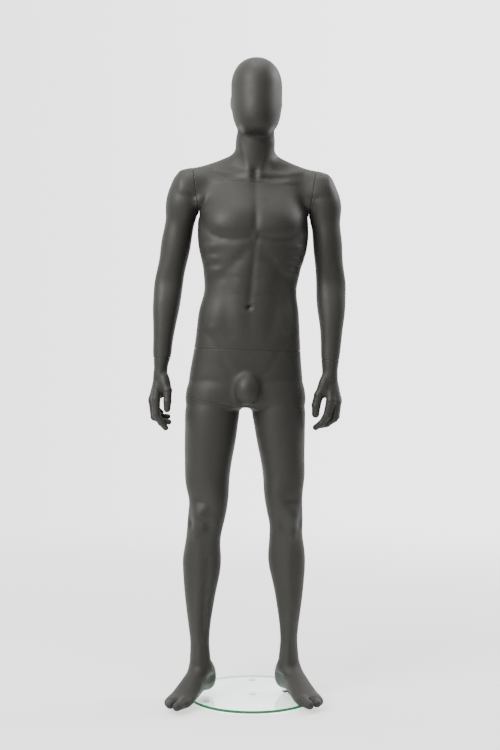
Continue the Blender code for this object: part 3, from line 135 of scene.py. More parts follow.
def limb(along, across, deep, table, square=2.3, twist=1):
    """A tube whose sections are soft-cornered ovals.

    The table gives, along the tube: centre across, centre deep, half width, half depth to the minus side and
    to the plus side, and the section's turn in radians.
    """
    spline_at, low, high = table
    c = spline_at(along)
    x, y = across - c[:, 0], deep - c[:, 1]
    cos, sin = np.cos(c[:, 5]), twist * np.sin(c[:, 5])
    x, y = x * cos + y * sin, y * cos - x * sin
    out = np.hypot(x, y) + 1e-9
    half_deep = np.where(y < 0, c[:, 3], c[:, 4])
    share = (np.abs(x / c[:, 2]) ** square + np.abs(y / half_deep) ** square) ** (1 / square)
    side = out * (1 - 1 / np.maximum(share, 1e-6))
    end = np.maximum(low - along, along - high)
    return np.minimum(np.maximum(side, end), 0) + np.hypot(np.maximum(side, 0), np.maximum(end, 0))


def table(rows):
    """A limb's sections as a spline, with the first and last place along it."""
    rows = [tuple(r) + (0.0,) * (7 - len(r)) for r in rows]
    rows = [r[:6] + (np.radians(r[6]),) for r in rows]
    return spline(rows), min(r[0] for r in rows), max(r[0] for r in rows)


def egg(p, centre, low, high, lower_power=2.0, upper_power=2.0):
    """An ellipsoid with its own radius each way.

    A power above 2 squares the half below or above the centre.
    """
    q = p - np.array(centre)
    r = np.where(q < 0, np.array(low), np.array(high))
    s = np.abs(q / r)
    power = np.where(q[:, 2] < 0, lower_power, upper_power)
    share = ((s[:, 0] ** 2 + s[:, 1] ** 2) ** (power / 2) + s[:, 2] ** power) ** (1 / power)
    return np.linalg.norm(q, axis=1) * (1 - 1 / np.maximum(share, 1e-6))


def bone(p, a, b, ra, rb):
    """A round bar from a to b with radii ra and rb."""
    a, b = np.array(a), np.array(b)
    t = np.clip((p - a) @ (b - a) / ((b - a) @ (b - a)), 0, 1)
    return np.linalg.norm(p - a - t[:, None] * (b - a), axis=1) - (ra + t * (rb - ra))


def mound(p, centre, radii, height):
    """How much a soft bump lifts the surface; a negative height is a hollow."""
    return height * np.exp(-(((p - np.array(centre)) / np.array(radii)) ** 2).sum(1))


def squared_distance(p, path):
    """From each point to the nearest place on a line of points."""
    path = np.array(path)
    near = np.full(len(p), np.inf)
    for a, b in zip(path[:-1], path[1:]):
        t = np.clip((p - a) @ (b - a) / ((b - a) @ (b - a)), 0, 1)
        near = np.minimum(near, ((p - a - t[:, None] * (b - a)) ** 2).sum(1))
    return near


def ridge(p, path, width, height):
    """How much a soft ridge along a line of points lifts the surface; a negative height is a groove."""
    return height * np.exp(-squared_distance(p, path) / width**2)


def drawn(q, path, width, height, back=False):
    """A ridge or groove that follows points across and up, on the trunk's front or on its back."""
    face = np.clip(0.5 + (q[:, 1] if back else -q[:, 1]) / 0.04, 0, 1)
    return face * height * np.exp(-squared_distance(q[:, [0, 2]], path) / width**2)


# ---------------------------------------------------------------- proportions
# heights and distances in metres, from the floor and from the middle of the base
MIDDLE = spline([(0.874, -0.0205), (0.945, -0.0190), (1.016, -0.0160), (1.052, -0.0140), (1.158, -0.0098),
                 (1.194, -0.0068), (1.229, -0.0043), (1.265, -0.0022), (1.300, 0.0001), (1.371, 0.0022),
                 (1.424, 0.0038), (1.560, 0.0062), (1.640, 0.0090), (1.800, 0.0124)])
LEAN = 0.020                     # how far each metre to the figure's left drops
FACING = np.radians(3.0)         # the trunk's turn towards its own left

TRUNK = table([  # height; middle: across, deep; half width, to the front, to the back
    (1.520, 0, 0.020, 0.115, 0.075, 0.085),
    (1.480, 0, 0.016, 0.145, 0.098, 0.098),
    (1.440, 0, 0.012, 0.162, 0.114, 0.107),
    (1.400, 0, 0.010, 0.165, 0.121, 0.110),
    (1.360, 0, 0.008, 0.1635, 0.122, 0.108),
    (1.320, 0, 0.006, 0.157, 0.118, 0.103),
    (1.280, 0, 0.004, 0.146, 0.113, 0.096),
    (1.235, 0, 0.002, 0.1390, 0.108, 0.087),
    (1.195, 0, 0.000, 0.1385, 0.104, 0.080),
    (1.160, 0, -0.001, 0.1455, 0.102, 0.077),
    (1.125, 0, -0.001, 0.1500, 0.101, 0.079),
    (1.090, 0, 0.000, 0.1530, 0.101, 0.085),
    (1.055, 0, 0.002, 0.1562, 0.100, 0.092),
    (1.020, 0, 0.004, 0.1600, 0.099, 0.100),
    (0.985, 0, 0.006, 0.1645, 0.098, 0.106),
    (0.950, 0, 0.007, 0.1685, 0.096, 0.109),
    (0.920, 0, 0.008, 0.1700, 0.092, 0.104),
    (0.890, 0, 0.008, 0.1660, 0.084, 0.092),
    (0.865, 0, 0.008, 0.1520, 0.070, 0.075),
])
GIRDLE = table([  # distance from the middle; deep, height; half depth, down, up
    (-0.02, 0.030, 1.50, 0.066, 0.05, 0.122),
    (0.020, 0.030, 1.50, 0.066, 0.05, 0.122),
    (0.062, 0.034, 1.50, 0.064, 0.05, 0.116),
    (0.084, 0.034, 1.50, 0.062, 0.05, 0.1060),
    (0.107, 0.032, 1.50, 0.060, 0.05, 0.0955),
    (0.136, 0.029, 1.50, 0.057, 0.035, 0.0840),
    (0.165, 0.026, 1.50, 0.055, 0.024, 0.0745),
    (0.190, 0.023, 1.50, 0.052, 0.022, 0.0650),
    (0.210, 0.021, 1.50, 0.046, 0.022, 0.0530),
])
NECK = table([
    (1.500, 0, 0.030, 0.064, 0.072, 0.066),
    (1.545, 0, 0.028, 0.0595, 0.068, 0.064),
    (1.580, 0, 0.024, 0.0590, 0.062, 0.062),
    (1.620, 0, 0.018, 0.0580, 0.059, 0.060),
    (1.660, 0, 0.010, 0.0575, 0.056, 0.058),
    (1.690, 0, 0.002, 0.0500, 0.048, 0.052),
    (1.705, 0, -0.002, 0.0440, 0.040, 0.046),
])
ARMS = {-1: table([
    (1.530, -0.2000, 0.020, 0.0200, 0.024, 0.024),
    (1.505, -0.2030, 0.020, 0.0330, 0.038, 0.039),
    (1.475, -0.2080, 0.020, 0.0405, 0.045, 0.047),
    (1.424, -0.2150, 0.021, 0.0435, 0.047, 0.050),
    (1.371, -0.2245, 0.022, 0.0450, 0.046, 0.050),
    (1.336, -0.2295, 0.024, 0.0445, 0.045, 0.048),
    (1.300, -0.2360, 0.025, 0.0428, 0.042, 0.044),
    (1.265, -0.2440, 0.025, 0.0424, 0.039, 0.042),
    (1.229, -0.2500, 0.024, 0.0428, 0.038, 0.042),
    (1.194, -0.2535, 0.021, 0.0412, 0.042, 0.042),
    (1.158, -0.2570, 0.016, 0.0388, 0.043, 0.039),
    (1.123, -0.2600, 0.011, 0.0352, 0.041, 0.036),
    (1.087, -0.2630, 0.006, 0.0316, 0.037, 0.032),
    (1.052, -0.2658, 0.002, 0.0288, 0.033, 0.029),
    (1.016, -0.2680, -0.001, 0.0262, 0.031, 0.027),
    (0.981, -0.2705, -0.004, 0.0180, 0.028, 0.024),
    (0.955, -0.2715, -0.005, 0.0150, 0.024, 0.020),
]), 1: table([
    (1.530, 0.2060, 0.020, 0.0200, 0.024, 0.024),
    (1.505, 0.2095, 0.020, 0.0330, 0.038, 0.039),
    (1.475, 0.2150, 0.020, 0.0405, 0.045, 0.047),
    (1.424, 0.2180, 0.021, 0.0432, 0.047, 0.050),
    (1.371, 0.2230, 0.022, 0.0435, 0.046, 0.050),
    (1.336, 0.2252, 0.024, 0.0434, 0.045, 0.048),
    (1.300, 0.2278, 0.025, 0.0422, 0.042, 0.044),
    (1.265, 0.2316, 0.025, 0.0428, 0.039, 0.042),
    (1.229, 0.2346, 0.024, 0.0440, 0.038, 0.042),
    (1.194, 0.2346, 0.021, 0.0433, 0.042, 0.042),
    (1.158, 0.2352, 0.016, 0.0412, 0.043, 0.039),
    (1.123, 0.2356, 0.011, 0.0372, 0.041, 0.036),
    (1.087, 0.2348, 0.006, 0.0330, 0.037, 0.032),
    (1.052, 0.2335, 0.002, 0.0304, 0.033, 0.029),
    (1.016, 0.2315, -0.001, 0.0278, 0.031, 0.027),
    (0.981, 0.2300, -0.004, 0.0235, 0.028, 0.024),
    (0.950, 0.2275, -0.005, 0.0190, 0.024, 0.020),
])}
LEGS = {-1: table([  # height; middle: across, deep; half width, front, back, turn out in degrees
    (0.945, -0.1050, 0.010, 0.0600, 0.074, 0.080, 0),
    (0.900, -0.1140, 0.009, 0.0730, 0.086, 0.090, 0),
    (0.857, -0.1185, 0.008, 0.0808, 0.092, 0.094, 0),
    (0.821, -0.1211, 0.006, 0.0795, 0.091, 0.090, 0),
    (0.768, -0.1251, 0.004, 0.0763, 0.088, 0.083, 0),
    (0.715, -0.1300, 0.002, 0.0713, 0.083, 0.076, 0),
    (0.661, -0.1326, -0.002, 0.0660, 0.077, 0.068, 0),
    (0.626, -0.1316, -0.005, 0.0620, 0.072, 0.063, 2),
    (0.591, -0.1302, -0.007, 0.0578, 0.067, 0.058, 4),
    (0.555, -0.1337, -0.008, 0.0567, 0.062, 0.055, 6),
    (0.520, -0.1390, -0.007, 0.0542, 0.058, 0.053, 8),
    (0.484, -0.1446, -0.003, 0.0515, 0.054, 0.053, 9),
    (0.449, -0.1485, 0.000, 0.0530, 0.051, 0.057, 10),
    (0.413, -0.1503, 0.002, 0.0566, 0.050, 0.062, 10),
    (0.378, -0.1512, 0.002, 0.0552, 0.049, 0.061, 11),
    (0.342, -0.1534, 0.001, 0.0508, 0.047, 0.057, 12),
    (0.307, -0.1556, -0.001, 0.0456, 0.045, 0.051, 12),
    (0.271, -0.1568, -0.004, 0.0402, 0.042, 0.045, 13),
    (0.236, -0.1575, -0.008, 0.0350, 0.039, 0.040, 14),
    (0.200, -0.1572, -0.013, 0.0302, 0.036, 0.036, 16),
    (0.165, -0.1560, -0.018, 0.0272, 0.034, 0.035, 20),
    (0.129, -0.1548, -0.024, 0.0285, 0.036, 0.036, 25),
    (0.085, -0.1540, -0.028, 0.0305, 0.036, 0.038, 30),
]), 1: table([
    (0.945, 0.0660, 0.010, 0.0600, 0.074, 0.080, 0),
    (0.900, 0.0735, 0.009, 0.0725, 0.086, 0.090, 0),
    (0.857, 0.0775, 0.008, 0.0795, 0.092, 0.094, 0),
    (0.821, 0.0803, 0.006, 0.0770, 0.091, 0.090, 0),
    (0.768, 0.0843, 0.004, 0.0720, 0.088, 0.083, 0),
    (0.715, 0.0895, 0.002, 0.0665, 0.083, 0.076, 0),
    (0.661, 0.0924, -0.002, 0.0610, 0.077, 0.068, 0),
    (0.626, 0.0915, -0.005, 0.0570, 0.072, 0.063, 2),
    (0.591, 0.0932, -0.007, 0.0550, 0.067, 0.058, 4),
    (0.555, 0.0965, -0.008, 0.0530, 0.062, 0.055, 6),
    (0.520, 0.0998, -0.005, 0.0495, 0.058, 0.053, 8),
    (0.484, 0.1000, 0.000, 0.0492, 0.054, 0.053, 9),
    (0.449, 0.1014, 0.005, 0.0525, 0.051, 0.057, 10),
    (0.413, 0.1023, 0.008, 0.0548, 0.050, 0.062, 10),
    (0.378, 0.1044, 0.009, 0.0520, 0.049, 0.061, 10),
    (0.342, 0.1072, 0.010, 0.0463, 0.047, 0.057, 10),
    (0.307, 0.1090, 0.009, 0.0412, 0.045, 0.051, 10),
    (0.271, 0.1096, 0.007, 0.0360, 0.042, 0.045, 11),
    (0.236, 0.1097, 0.004, 0.0308, 0.039, 0.040, 12),
    (0.200, 0.1092, 0.001, 0.0264, 0.036, 0.036, 14),
    (0.165, 0.1085, -0.002, 0.0247, 0.034, 0.035, 17),
    (0.129, 0.1080, -0.006, 0.0275, 0.036, 0.036, 20),
    (0.085, 0.1085, -0.010, 0.0300, 0.036, 0.038, 22),
])}
FOOT = table([  # forward from the ankle; outward, height; half width, down, up
    (-0.030, 0.000, 0.062, 0.0265, 0.034, 0.040),
    (-0.005, 0.001, 0.060, 0.0300, 0.033, 0.050),
    (0.030, 0.003, 0.054, 0.0325, 0.029, 0.046),
    (0.060, 0.002, 0.046, 0.0345, 0.027, 0.038),
    (0.090, 0.001, 0.036, 0.0370, 0.0215, 0.031),
    (0.115, 0.000, 0.029, 0.0395, 0.0160, 0.0245),
    (0.138, 0.000, 0.0255, 0.0385, 0.0130, 0.0185),
    (0.150, 0.001, 0.0250, 0.0350, 0.0125, 0.0150),
])
ANKLES = {-1: (-0.1510, -0.028, 26.5), 1: (0.1085, -0.009, 23.5)}  # across, deep, turned out in degrees
WRISTS = {-1: (-0.2710, -0.005, 0.981), 1: (0.2300, -0.005, 0.975)}
HAND_TURN = {-1: 8.0, 1: 25.0}


# ---------------------------------------------------------------- the figure
FAR = 0.25


def to_trunk(p):
    """The trunk's own frame, in which it is symmetric about zero across."""
    x, y = p[:, 0] - MIDDLE(p[:, 2])[:, 0], p[:, 1]
    u = x * np.cos(FACING) + y * np.sin(FACING)
    return np.stack([u, y * np.cos(FACING) - x * np.sin(FACING), p[:, 2] + LEAN * u], 1)


def mirrored(q):
    return np.stack([np.abs(q[:, 0]), q[:, 1], q[:, 2]], 1)


def trunk(q):
    m = mirrored(q)
    a, y, z = m.T
    d = limb(z, q[:, 0], y, TRUNK, 2.35)
    d = smooth_min(d, limb(a, y, z, GIRDLE, 2.2), 0.045)
    d = smooth_min(d, limb(z, q[:, 0], y, NECK, 2.1), 0.022)
    # crotch and seat
    d = smooth_min(d, egg(m, (0, -0.080, 0.918), (0.037, 0.041, 0.043), (0.037, 0.03, 0.050), 2.2), 0.016)
    d -= mound(m, (0.078, 0.110, 0.925), (0.062, 0.060, 0.075), 0.026)
    d -= ridge(q, [(0, 0.135, 1.03), (0, 0.145, 0.96), (0, 0.125, 0.88)], 0.013, -0.022)
    # chest
    d -= mound(m, (0.082, -0.118, 1.408), (0.070, 0.060, 0.050), 0.011)
    d -= mound(m, (0.120, -0.100, 1.395), (0.040, 0.050, 0.035), 0.004)
    d -= drawn(m, [(0.163, 1.426), (0.141, 1.388), (0.120, 1.368), (0.095, 1.357), (0.062, 1.353),
                   (0.030, 1.356), (0.012, 1.361)], 0.014, -0.0066)
    d -= drawn(q, [(0.001, 1.53), (0.001, 1.385)], 0.012, -0.0034)
    d -= drawn(q, [(0.001, 1.35), (-0.003, 1.25), (-0.005, 1.165)], 0.010, -0.0030)
    # collarbones, throat and the cords of the neck
    d -= drawn(m, [(0.018, 1.5485), (0.060, 1.5505), (0.100, 1.555), (0.135, 1.563)], 0.0095, 0.0028)
    d -= drawn(m, [(0.050, 1.572), (0.095, 1.574)], 0.015, -0.0028)
    d -= mound(q, (0, -0.050, 1.556), (0.013, 0.030, 0.012), -0.0055)
    d -= ridge(m, [(0.014, -0.046, 1.553), (0.030, -0.040, 1.590), (0.046, -0.020, 1.640)], 0.0120, 0.0024)
    # ribs, belly and navel
    d -= drawn(m, [(0.008, 1.338), (0.030, 1.312), (0.056, 1.284), (0.092, 1.241), (0.124, 1.222)],
               0.017, -0.0029)
    for across, up in ((0.132, 1.330), (0.128, 1.296), (0.118, 1.262)):
        d -= mound(m, (across, -0.070, up), (0.024, 0.055, 0.0115), 0.0058)
    d -= drawn(m, [(0.070, 1.235), (0.073, 1.180), (0.068, 1.120), (0.058, 1.080)], 0.018, -0.0022)
    for up in (1.288, 1.238, 1.188):
        d -= drawn(m, [(0.012, up), (0.052, up + 0.006)], 0.0090, -0.0007)
    d -= mound(m, (0.104, -0.070, 1.128), (0.034, 0.055, 0.036), 0.0060)
    d -= mound(m, (0.034, -0.100, 1.128), (0.032, 0.040, 0.040), 0.0035)
    d -= mound(m, (0.036, -0.100, 1.222), (0.028, 0.040, 0.050), 0.0030)
    d -= mound(q, (-0.005, -0.104, 1.1565), (0.0070, 0.030, 0.0060), -0.0125)
    d -= mound(q, (-0.005, -0.104, 1.1670), (0.010, 0.030, 0.006), 0.0016)
    # hip bones and groins
    d -= drawn(m, [(0.126, 1.086), (0.112, 1.072), (0.090, 1.036), (0.064, 0.984), (0.048, 0.962)],
               0.0120, -0.0020)
    d -= mound(m, (0.116, -0.080, 1.094), (0.020, 0.036, 0.014), 0.0030)
    # back
    d -= ridge(q, [(0, 0.10, 1.56), (0, 0.125, 1.44), (0, 0.112, 1.33), (0, 0.085, 1.20),
                   (0, 0.085, 1.10)], 0.016, -0.010)
    d -= mound(m, (0.088, 0.115, 1.435), (0.048, 0.050, 0.065), 0.008)
    d -= mound(m, (0.040, 0.085, 1.18), (0.026, 0.04, 0.10), 0.006)
    d -= drawn(m, [(0.052, 1.500), (0.060, 1.440), (0.074, 1.385)], 0.014, -0.0030, back=True)
    d -= drawn(m, [(0.074, 1.385), (0.110, 1.372), (0.140, 1.395)], 0.014, -0.0040, back=True)
    d -= mound(m, (0.036, 0.100, 1.052), (0.012, 0.030, 0.012), -0.0035)
    return d


def head(q):
    z = q[:, 2]
    below = np.maximum(1.84 - z, 0)
    lean = 0.22 * below**2 / (below + 0.08)
    h = np.stack([q[:, 0], q[:, 1] + lean, z], 1)
    d = egg(h, (0, -0.006, 1.806), (0.0755, 0.097, 0.144), (0.0755, 0.097, 0.088), 3.10, 2.20)
    ear = egg(mirrored(h), (0.0690, 0.018, 1.764), (0.0085, 0.017, 0.024), (0.0085, 0.017, 0.020))
    d = smooth_min(d, ear, 0.008)
    # the crease under the jaw
    return d - drawn(mirrored(q), [(0, 1.650), (0.022, 1.654), (0.040, 1.664), (0.053, 1.684)],
                     0.0050, -0.0045)


def arm(p, q, side):
    m = np.stack([q[:, 0] * side, q[:, 1], q[:, 2]], 1)
    d = limb(p[:, 2], p[:, 0], p[:, 1], ARMS[side], 2.15)
    d = smooth_min(d, bone(m, (0.160, -0.022, 1.470), (0.160, 0.055, 1.470), 0.015, 0.015), 0.030)
    d = smooth_min(d, egg(m, (0.2060, 0.020, 1.470), (0.038, 0.054, 0.060), (0.0480, 0.054, 0.084)), 0.03)
    c = ARMS[side][0](p[:, 2])
    k = np.stack([(p[:, 0] - c[:, 0]) * side, p[:, 1] - c[:, 1], p[:, 2]], 1)
    for centre, radii, height in ARM_BUMPS:
        d -= mound(k, centre, radii, height)
    return d


ARM_BUMPS = [  # centre (outward, deep, height), radii, height
    ((0.036, -0.005, 1.392), (0.020, 0.040, 0.034), -0.0016),    # below the shoulder muscle
    ((-0.004, -0.045, 1.335), (0.024, 0.030, 0.055), 0.0040),    # biceps
    ((0.010, 0.045, 1.370), (0.024, 0.030, 0.060), 0.0035),      # triceps
    ((0.006, 0.040, 1.225), (0.014, 0.020, 0.016), 0.0040),      # elbow
    ((0.000, -0.040, 1.240), (0.026, 0.022, 0.028), -0.0018),    # crook of the elbow
    ((0.022, -0.026, 1.175), (0.018, 0.030, 0.045), 0.0030),     # forearm muscles
    ((-0.026, 0.002, 1.170), (0.018, 0.030, 0.050), 0.0025),
    ((0.018, 0.018, 1.030), (0.010, 0.012, 0.012), 0.0030),      # wrist bone
]


# each finger's joints in the hand's own frame (outward, forward, down from the wrist) and its radii
RIGHT_FINGERS = [
    ([(0.006, 0.010, 0.018), (0.0165, 0.020, 0.092), (0.0160, 0.025, 0.137),
      (0.002, 0.028, 0.160), (-0.0115, 0.029, 0.1760)],
     [0.0110, 0.0130, 0.0112, 0.0098, 0.0084]),
    ([(0.006, 0.003, 0.018), (0.026, 0.002, 0.096), (0.021, 0.006, 0.145),
      (-0.005, 0.008, 0.1585), (-0.0220, 0.009, 0.1600)],
     [0.0105, 0.0118, 0.0104, 0.0095, 0.0082]),
    ([(0.005, -0.005, 0.018), (0.025, -0.016, 0.092), (0.020, -0.014, 0.136),
      (-0.005, -0.012, 0.1450), (-0.0215, -0.011, 0.1450)],
     [0.0102, 0.0112, 0.0095, 0.0088, 0.0077]),
    ([(0.004, -0.010, 0.018), (0.020, -0.033, 0.083), (0.017, -0.034, 0.113),
      (0.006, -0.036, 0.1260), (-0.0030, -0.031, 0.1330)],
     [0.0097, 0.0105, 0.0085, 0.0078, 0.0070]),
    ([(0.000, 0.012, 0.018), (-0.0172, 0.034, 0.066), (-0.0160, 0.041, 0.098), (-0.0150, 0.041, 0.1205)],
     [0.0120, 0.0130, 0.0118, 0.0100]),
]
LEFT_FINGERS = [
    ([(0.004, 0.008, 0.018), (0.0110, 0.020, 0.090), (0.0010, 0.024, 0.135),
      (-0.0150, 0.026, 0.1570), (-0.0345, 0.027, 0.1700)],
     [0.0115, 0.0142, 0.0125, 0.0105, 0.0088]),
    ([(0.006, 0.003, 0.018), (0.0220, 0.002, 0.096), (0.0160, 0.004, 0.144),
      (-0.0070, 0.006, 0.1600), (-0.0250, 0.007, 0.1660)],
     [0.0110, 0.0122, 0.0105, 0.0095, 0.0080]),
    ([(0.005, -0.005, 0.018), (0.0205, -0.014, 0.092), (0.0160, -0.012, 0.138),
      (-0.0040, -0.010, 0.1520), (-0.0220, -0.009, 0.1540)],
     [0.0105, 0.0114, 0.0098, 0.0088, 0.0077]),
    ([(0.004, -0.010, 0.018), (0.0140, -0.028, 0.084), (0.0110, -0.028, 0.118),
      (0.0020, -0.027, 0.1300), (-0.0060, -0.025, 0.1360)],
     [0.0098, 0.0106, 0.0087, 0.0078, 0.0068]),
    ([(-0.002, 0.012, 0.020), (-0.0235, 0.030, 0.074), (-0.0300, 0.034, 0.106),
      (-0.0315, 0.035, 0.1300)],
     [0.0125, 0.0140, 0.0128, 0.0112]),
]
FINGERS = {-1: RIGHT_FINGERS, 1: LEFT_FINGERS}


def to_hand(p, side):
    """The hand's own frame: outward to the back of the hand, forward to the thumb, down to the fingers."""
    wrist = WRISTS[side]
    x, y = (p[:, 0] - wrist[0]) * side, p[:, 1] - wrist[1]
    c, s = np.cos(np.radians(HAND_TURN[side])), np.sin(np.radians(HAND_TURN[side]))
    return np.stack([x * c - y * s, -y * c - x * s, wrist[2] - p[:, 2]], 1)


def hand(p, side):
    h = to_hand(p, side)
    d = np.full(len(h), 1.0)
    for joints, radii in FINGERS[side]:
        one = np.full(len(h), 1.0)
        for i in range(len(joints) - 1):
            one = smooth_min(one, bone(h, joints[i], joints[i + 1], radii[i], radii[i + 1]), 0.003)
        web = np.clip((h[:, 2] - 0.085) / 0.03, 0, 1)
        d = smooth_min(d, one, 0.011 - 0.0085 * web)
    d = smooth_min(d, bone(h, (0.001, 0.0, -0.010), (0.001, 0.003, 0.022), 0.0185, 0.0180), 0.014)
    d = smooth_min(d, egg(h, (-0.010, 0.021, 0.045), (0.014, 0.016, 0.029), (0.013, 0.014, 0.032)), 0.014)
    d = smooth_min(d, egg(h, (-0.002, -0.022, 0.055), (0.014, 0.013, 0.036), (0.014, 0.014, 0.036)), 0.014)
    return d


def to_foot(p, side):
    x0, y0, turn = ANKLES[side]
    c, s = np.cos(np.radians(turn)), np.sin(np.radians(turn))
    x, y = (p[:, 0] - x0) * side, -(p[:, 1] - y0)
    return np.stack([x * s + y * c, x * c - y * s, p[:, 2]], 1)  # forward, outward, up


def foot(p, side):
    f = to_foot(p, side)
    d = limb(f[:, 0], f[:, 1], f[:, 2], FOOT, 2.4)
    d = smooth_min(d, egg(f, (-0.030, 0.0, 0.062), (0.033, 0.0275, 0.037), (0.034, 0.0275, 0.050)), 0.02)
    toe = bone(f, (0.140, -0.0215, 0.0275), (0.178, -0.0190, 0.0255), 0.0150, 0.0125)
    rest = bone(f, (0.138, 0.0090, 0.0265), (0.1680, 0.0090, 0.0245), 0.0135, 0.0115)
    small = bone(f, (0.130, 0.0260, 0.0255), (0.1510, 0.0250, 0.0235), 0.0130, 0.0110)
    rest = smooth_min(rest, small, 0.018)
    d = smooth_min(d, smooth_min(toe, rest, 0.003), 0.010)
    return -smooth_min(-d, f[:, 2] - SOLE, 0.004)


def leg(p, side):
    d = limb(p[:, 2], p[:, 0], p[:, 1], LEGS[side], 2.15, -side)
    d = smooth_min(d, foot(p, side), 0.022)
    # in the leg's own frame: outward and forward from its middle, turned with the knee
    c = LEGS[side][0](p[:, 2])
    cos, sin = math.cos(KNEE_TURN[side]), math.sin(KNEE_TURN[side])
    x, y = (p[:, 0] - c[:, 0]) * side, -(p[:, 1] - c[:, 1])
    k = np.stack([x * cos - y * sin, x * sin + y * cos, p[:, 2]], 1)
    for centre, radii, height in LEG_BUMPS:
        d -= mound(k, centre, radii, height)
    for path, width, height in LEG_LINES:
        d -= ridge(k, path, width, height)
    return d


KNEE_TURN = {-1: math.radians(20), 1: math.radians(18)}
LEG_BUMPS = [  # centre (outward, forward, height), radii, height
    ((0.000, 0.060, 0.548), (0.023, 0.034, 0.028), 0.0105),      # kneecap
    ((-0.027, 0.050, 0.520), (0.012, 0.034, 0.018), -0.0085),    # hollows beside it
    ((0.028, 0.050, 0.522), (0.012, 0.034, 0.018), -0.0075),
    ((0.000, 0.056, 0.487), (0.013, 0.034, 0.018), 0.0060),      # top of the shin
    ((-0.040, 0.030, 0.610), (0.022, 0.040, 0.036), 0.0090),     # inner thigh muscle
    ((0.036, 0.040, 0.640), (0.024, 0.040, 0.045), 0.0060),      # outer thigh muscle
    ((0.000, 0.065, 0.592), (0.020, 0.034, 0.016), -0.0060),     # tendon above the kneecap
    ((-0.024, -0.050, 0.405), (0.024, 0.040, 0.060), 0.0045),    # calf, inner head
    ((0.026, -0.050, 0.425), (0.022, 0.040, 0.055), 0.0030),     # calf, outer head
    ((-0.030, 0.002, 0.099), (0.011, 0.013, 0.012), 0.0055),     # ankle bones
    ((0.031, -0.008, 0.084), (0.010, 0.012, 0.012), 0.0055),
    ((0.020, -0.026, 0.085), (0.010, 0.012, 0.022), -0.0030),    # hollows before the heel cord
    ((-0.020, -0.022, 0.092), (0.010, 0.012, 0.022), -0.0030),
]
LEG_LINES = [  # points in the same frame, width, height
    ([(-0.010, 0.050, 0.46), (-0.012, 0.047, 0.35), (-0.010, 0.040, 0.20), (-0.012, 0.036, 0.12)],
     0.010, 0.0036),                                                                         # shin bone
    ([(-0.030, 0.030, 0.42), (-0.026, 0.028, 0.30), (-0.022, 0.022, 0.20)], 0.010, -0.0034),  # inside it
    ([(0.046, 0.020, 0.74), (0.050, 0.010, 0.62), (0.046, 0.005, 0.56)], 0.014, -0.0030),    # outer thigh
    ([(0.0, -0.032, 0.20), (0.0, -0.036, 0.12)], 0.010, 0.0025),                             # heel cord
]


def body(p):
    """Signed distance to the whole figure, at most FAR."""
    q = to_trunk(p)
    d = np.full(len(p), FAR)

    def merge(mask, make, reach):
        if mask.any():
            r = reach[mask] if hasattr(reach, "__len__") else reach
            d[mask] = smooth_min(d[mask], make(mask), r)

    z = p[:, 2]
    merge((z > 0.78) & (z < 1.75), lambda m: trunk(q[m]), 0.01)
    merge(z > 1.58, lambda m: head(q[m]), 0.016)
    for side in SIDES:
        out = q[:, 0] * side
        shoulder = ease((q[:, 2] - 1.440) / 0.10)
        merge((out > 0.10) & (z > 0.90) & (z < 1.64), lambda m: arm(p[m], q[m], side),
              0.006 + 0.040 * shoulder)
        merge((out > 0.15) & (z < 1.02) & (z > 0.74), lambda m: hand(p[m], side), 0.008)
        merge((z < 0.97) & ((p[:, 0] + 0.0195) * side > -0.03), lambda m: leg(p[m], side),
              0.0004 + 0.042 * (0.1 + 0.9 * ease((z - 0.83) / 0.06)) * ease((0.975 - z) / 0.06))
    return d


def settle(points, form, level=0.0, rounds=6, most=0.012):
    """Moves points along the form's slope until they lie where its distance is level."""
    p = points.copy()
    e = 2e-4
    for _ in range(rounds):
        f = form(p) - level
        g = np.stack([(form(p + e * axis) - level - f) / e for axis in np.eye(3)], 1)
        step = f[:, None] * g / np.maximum((g * g).sum(1), 0.2)[:, None]
        length = np.linalg.norm(step, axis=1)
        p -= step * np.minimum(1, most / np.maximum(length, 1e-9))[:, None]
    return p


# ---------------------------------------------------------------- rough solids, drawn onto the form later
def ring_mesh(bm, rings, hollow=False):
    """Skins a row of rings with equal counts; hollow joins the last ring to the first instead of capping."""
    loops = [[bm.verts.new(point) for point in ring] for ring in rings]
    pairs = list(zip(loops[:-1], loops[1:]))
    if hollow:
        pairs.append((loops[-1], loops[0]))
    for a, b in pairs:
        for i in range(len(a)):
            j = (i + 1) % len(a)
            bm.faces.new((a[i], a[j], b[j], b[i]))
    if not hollow:
        bm.faces.new(list(reversed(loops[0])))
        bm.faces.new(loops[-1])


def around(count):
    """Equally spaced angles round a circle."""
    return [2 * math.pi * i / count for i in range(count)]


def oval(c, z, turn=0.0, count=24):
    """A rough section from a table's row: middle, half width, depths to the front and to the back."""
    points = []
    for a in around(count):
        x = 0.97 * c[2] * math.cos(a)
        y = 0.97 * (c[4] if math.sin(a) > 0 else c[3]) * math.sin(a)
        points.append((c[0] + x * math.cos(turn) - y * math.sin(turn),
                       c[1] + x * math.sin(turn) + y * math.cos(turn), z))
    return points


def capsule(bm, a, b, ra, rb, count=12):
    """A faceted bar with rounded ends."""
    a, b = np.array(a), np.array(b)
    along = (b - a) / np.linalg.norm(b - a)
    u = np.cross(along, (0.3, 1.0, 0.2))
    u /= np.linalg.norm(u)
    v = np.cross(along, u)
    rings = []
    for shift, share, end, radius in ((-0.9, 0.45, a, ra), (-0.5, 0.85, a, ra), (0, 1, a, ra),
                                      (0, 1, b, rb), (0.5, 0.85, b, rb), (0.9, 0.45, b, rb)):
        rings.append([tuple(end + along * shift * radius
                            + share * radius * (u * math.cos(t) + v * math.sin(t))) for t in around(count)])
    ring_mesh(bm, rings)


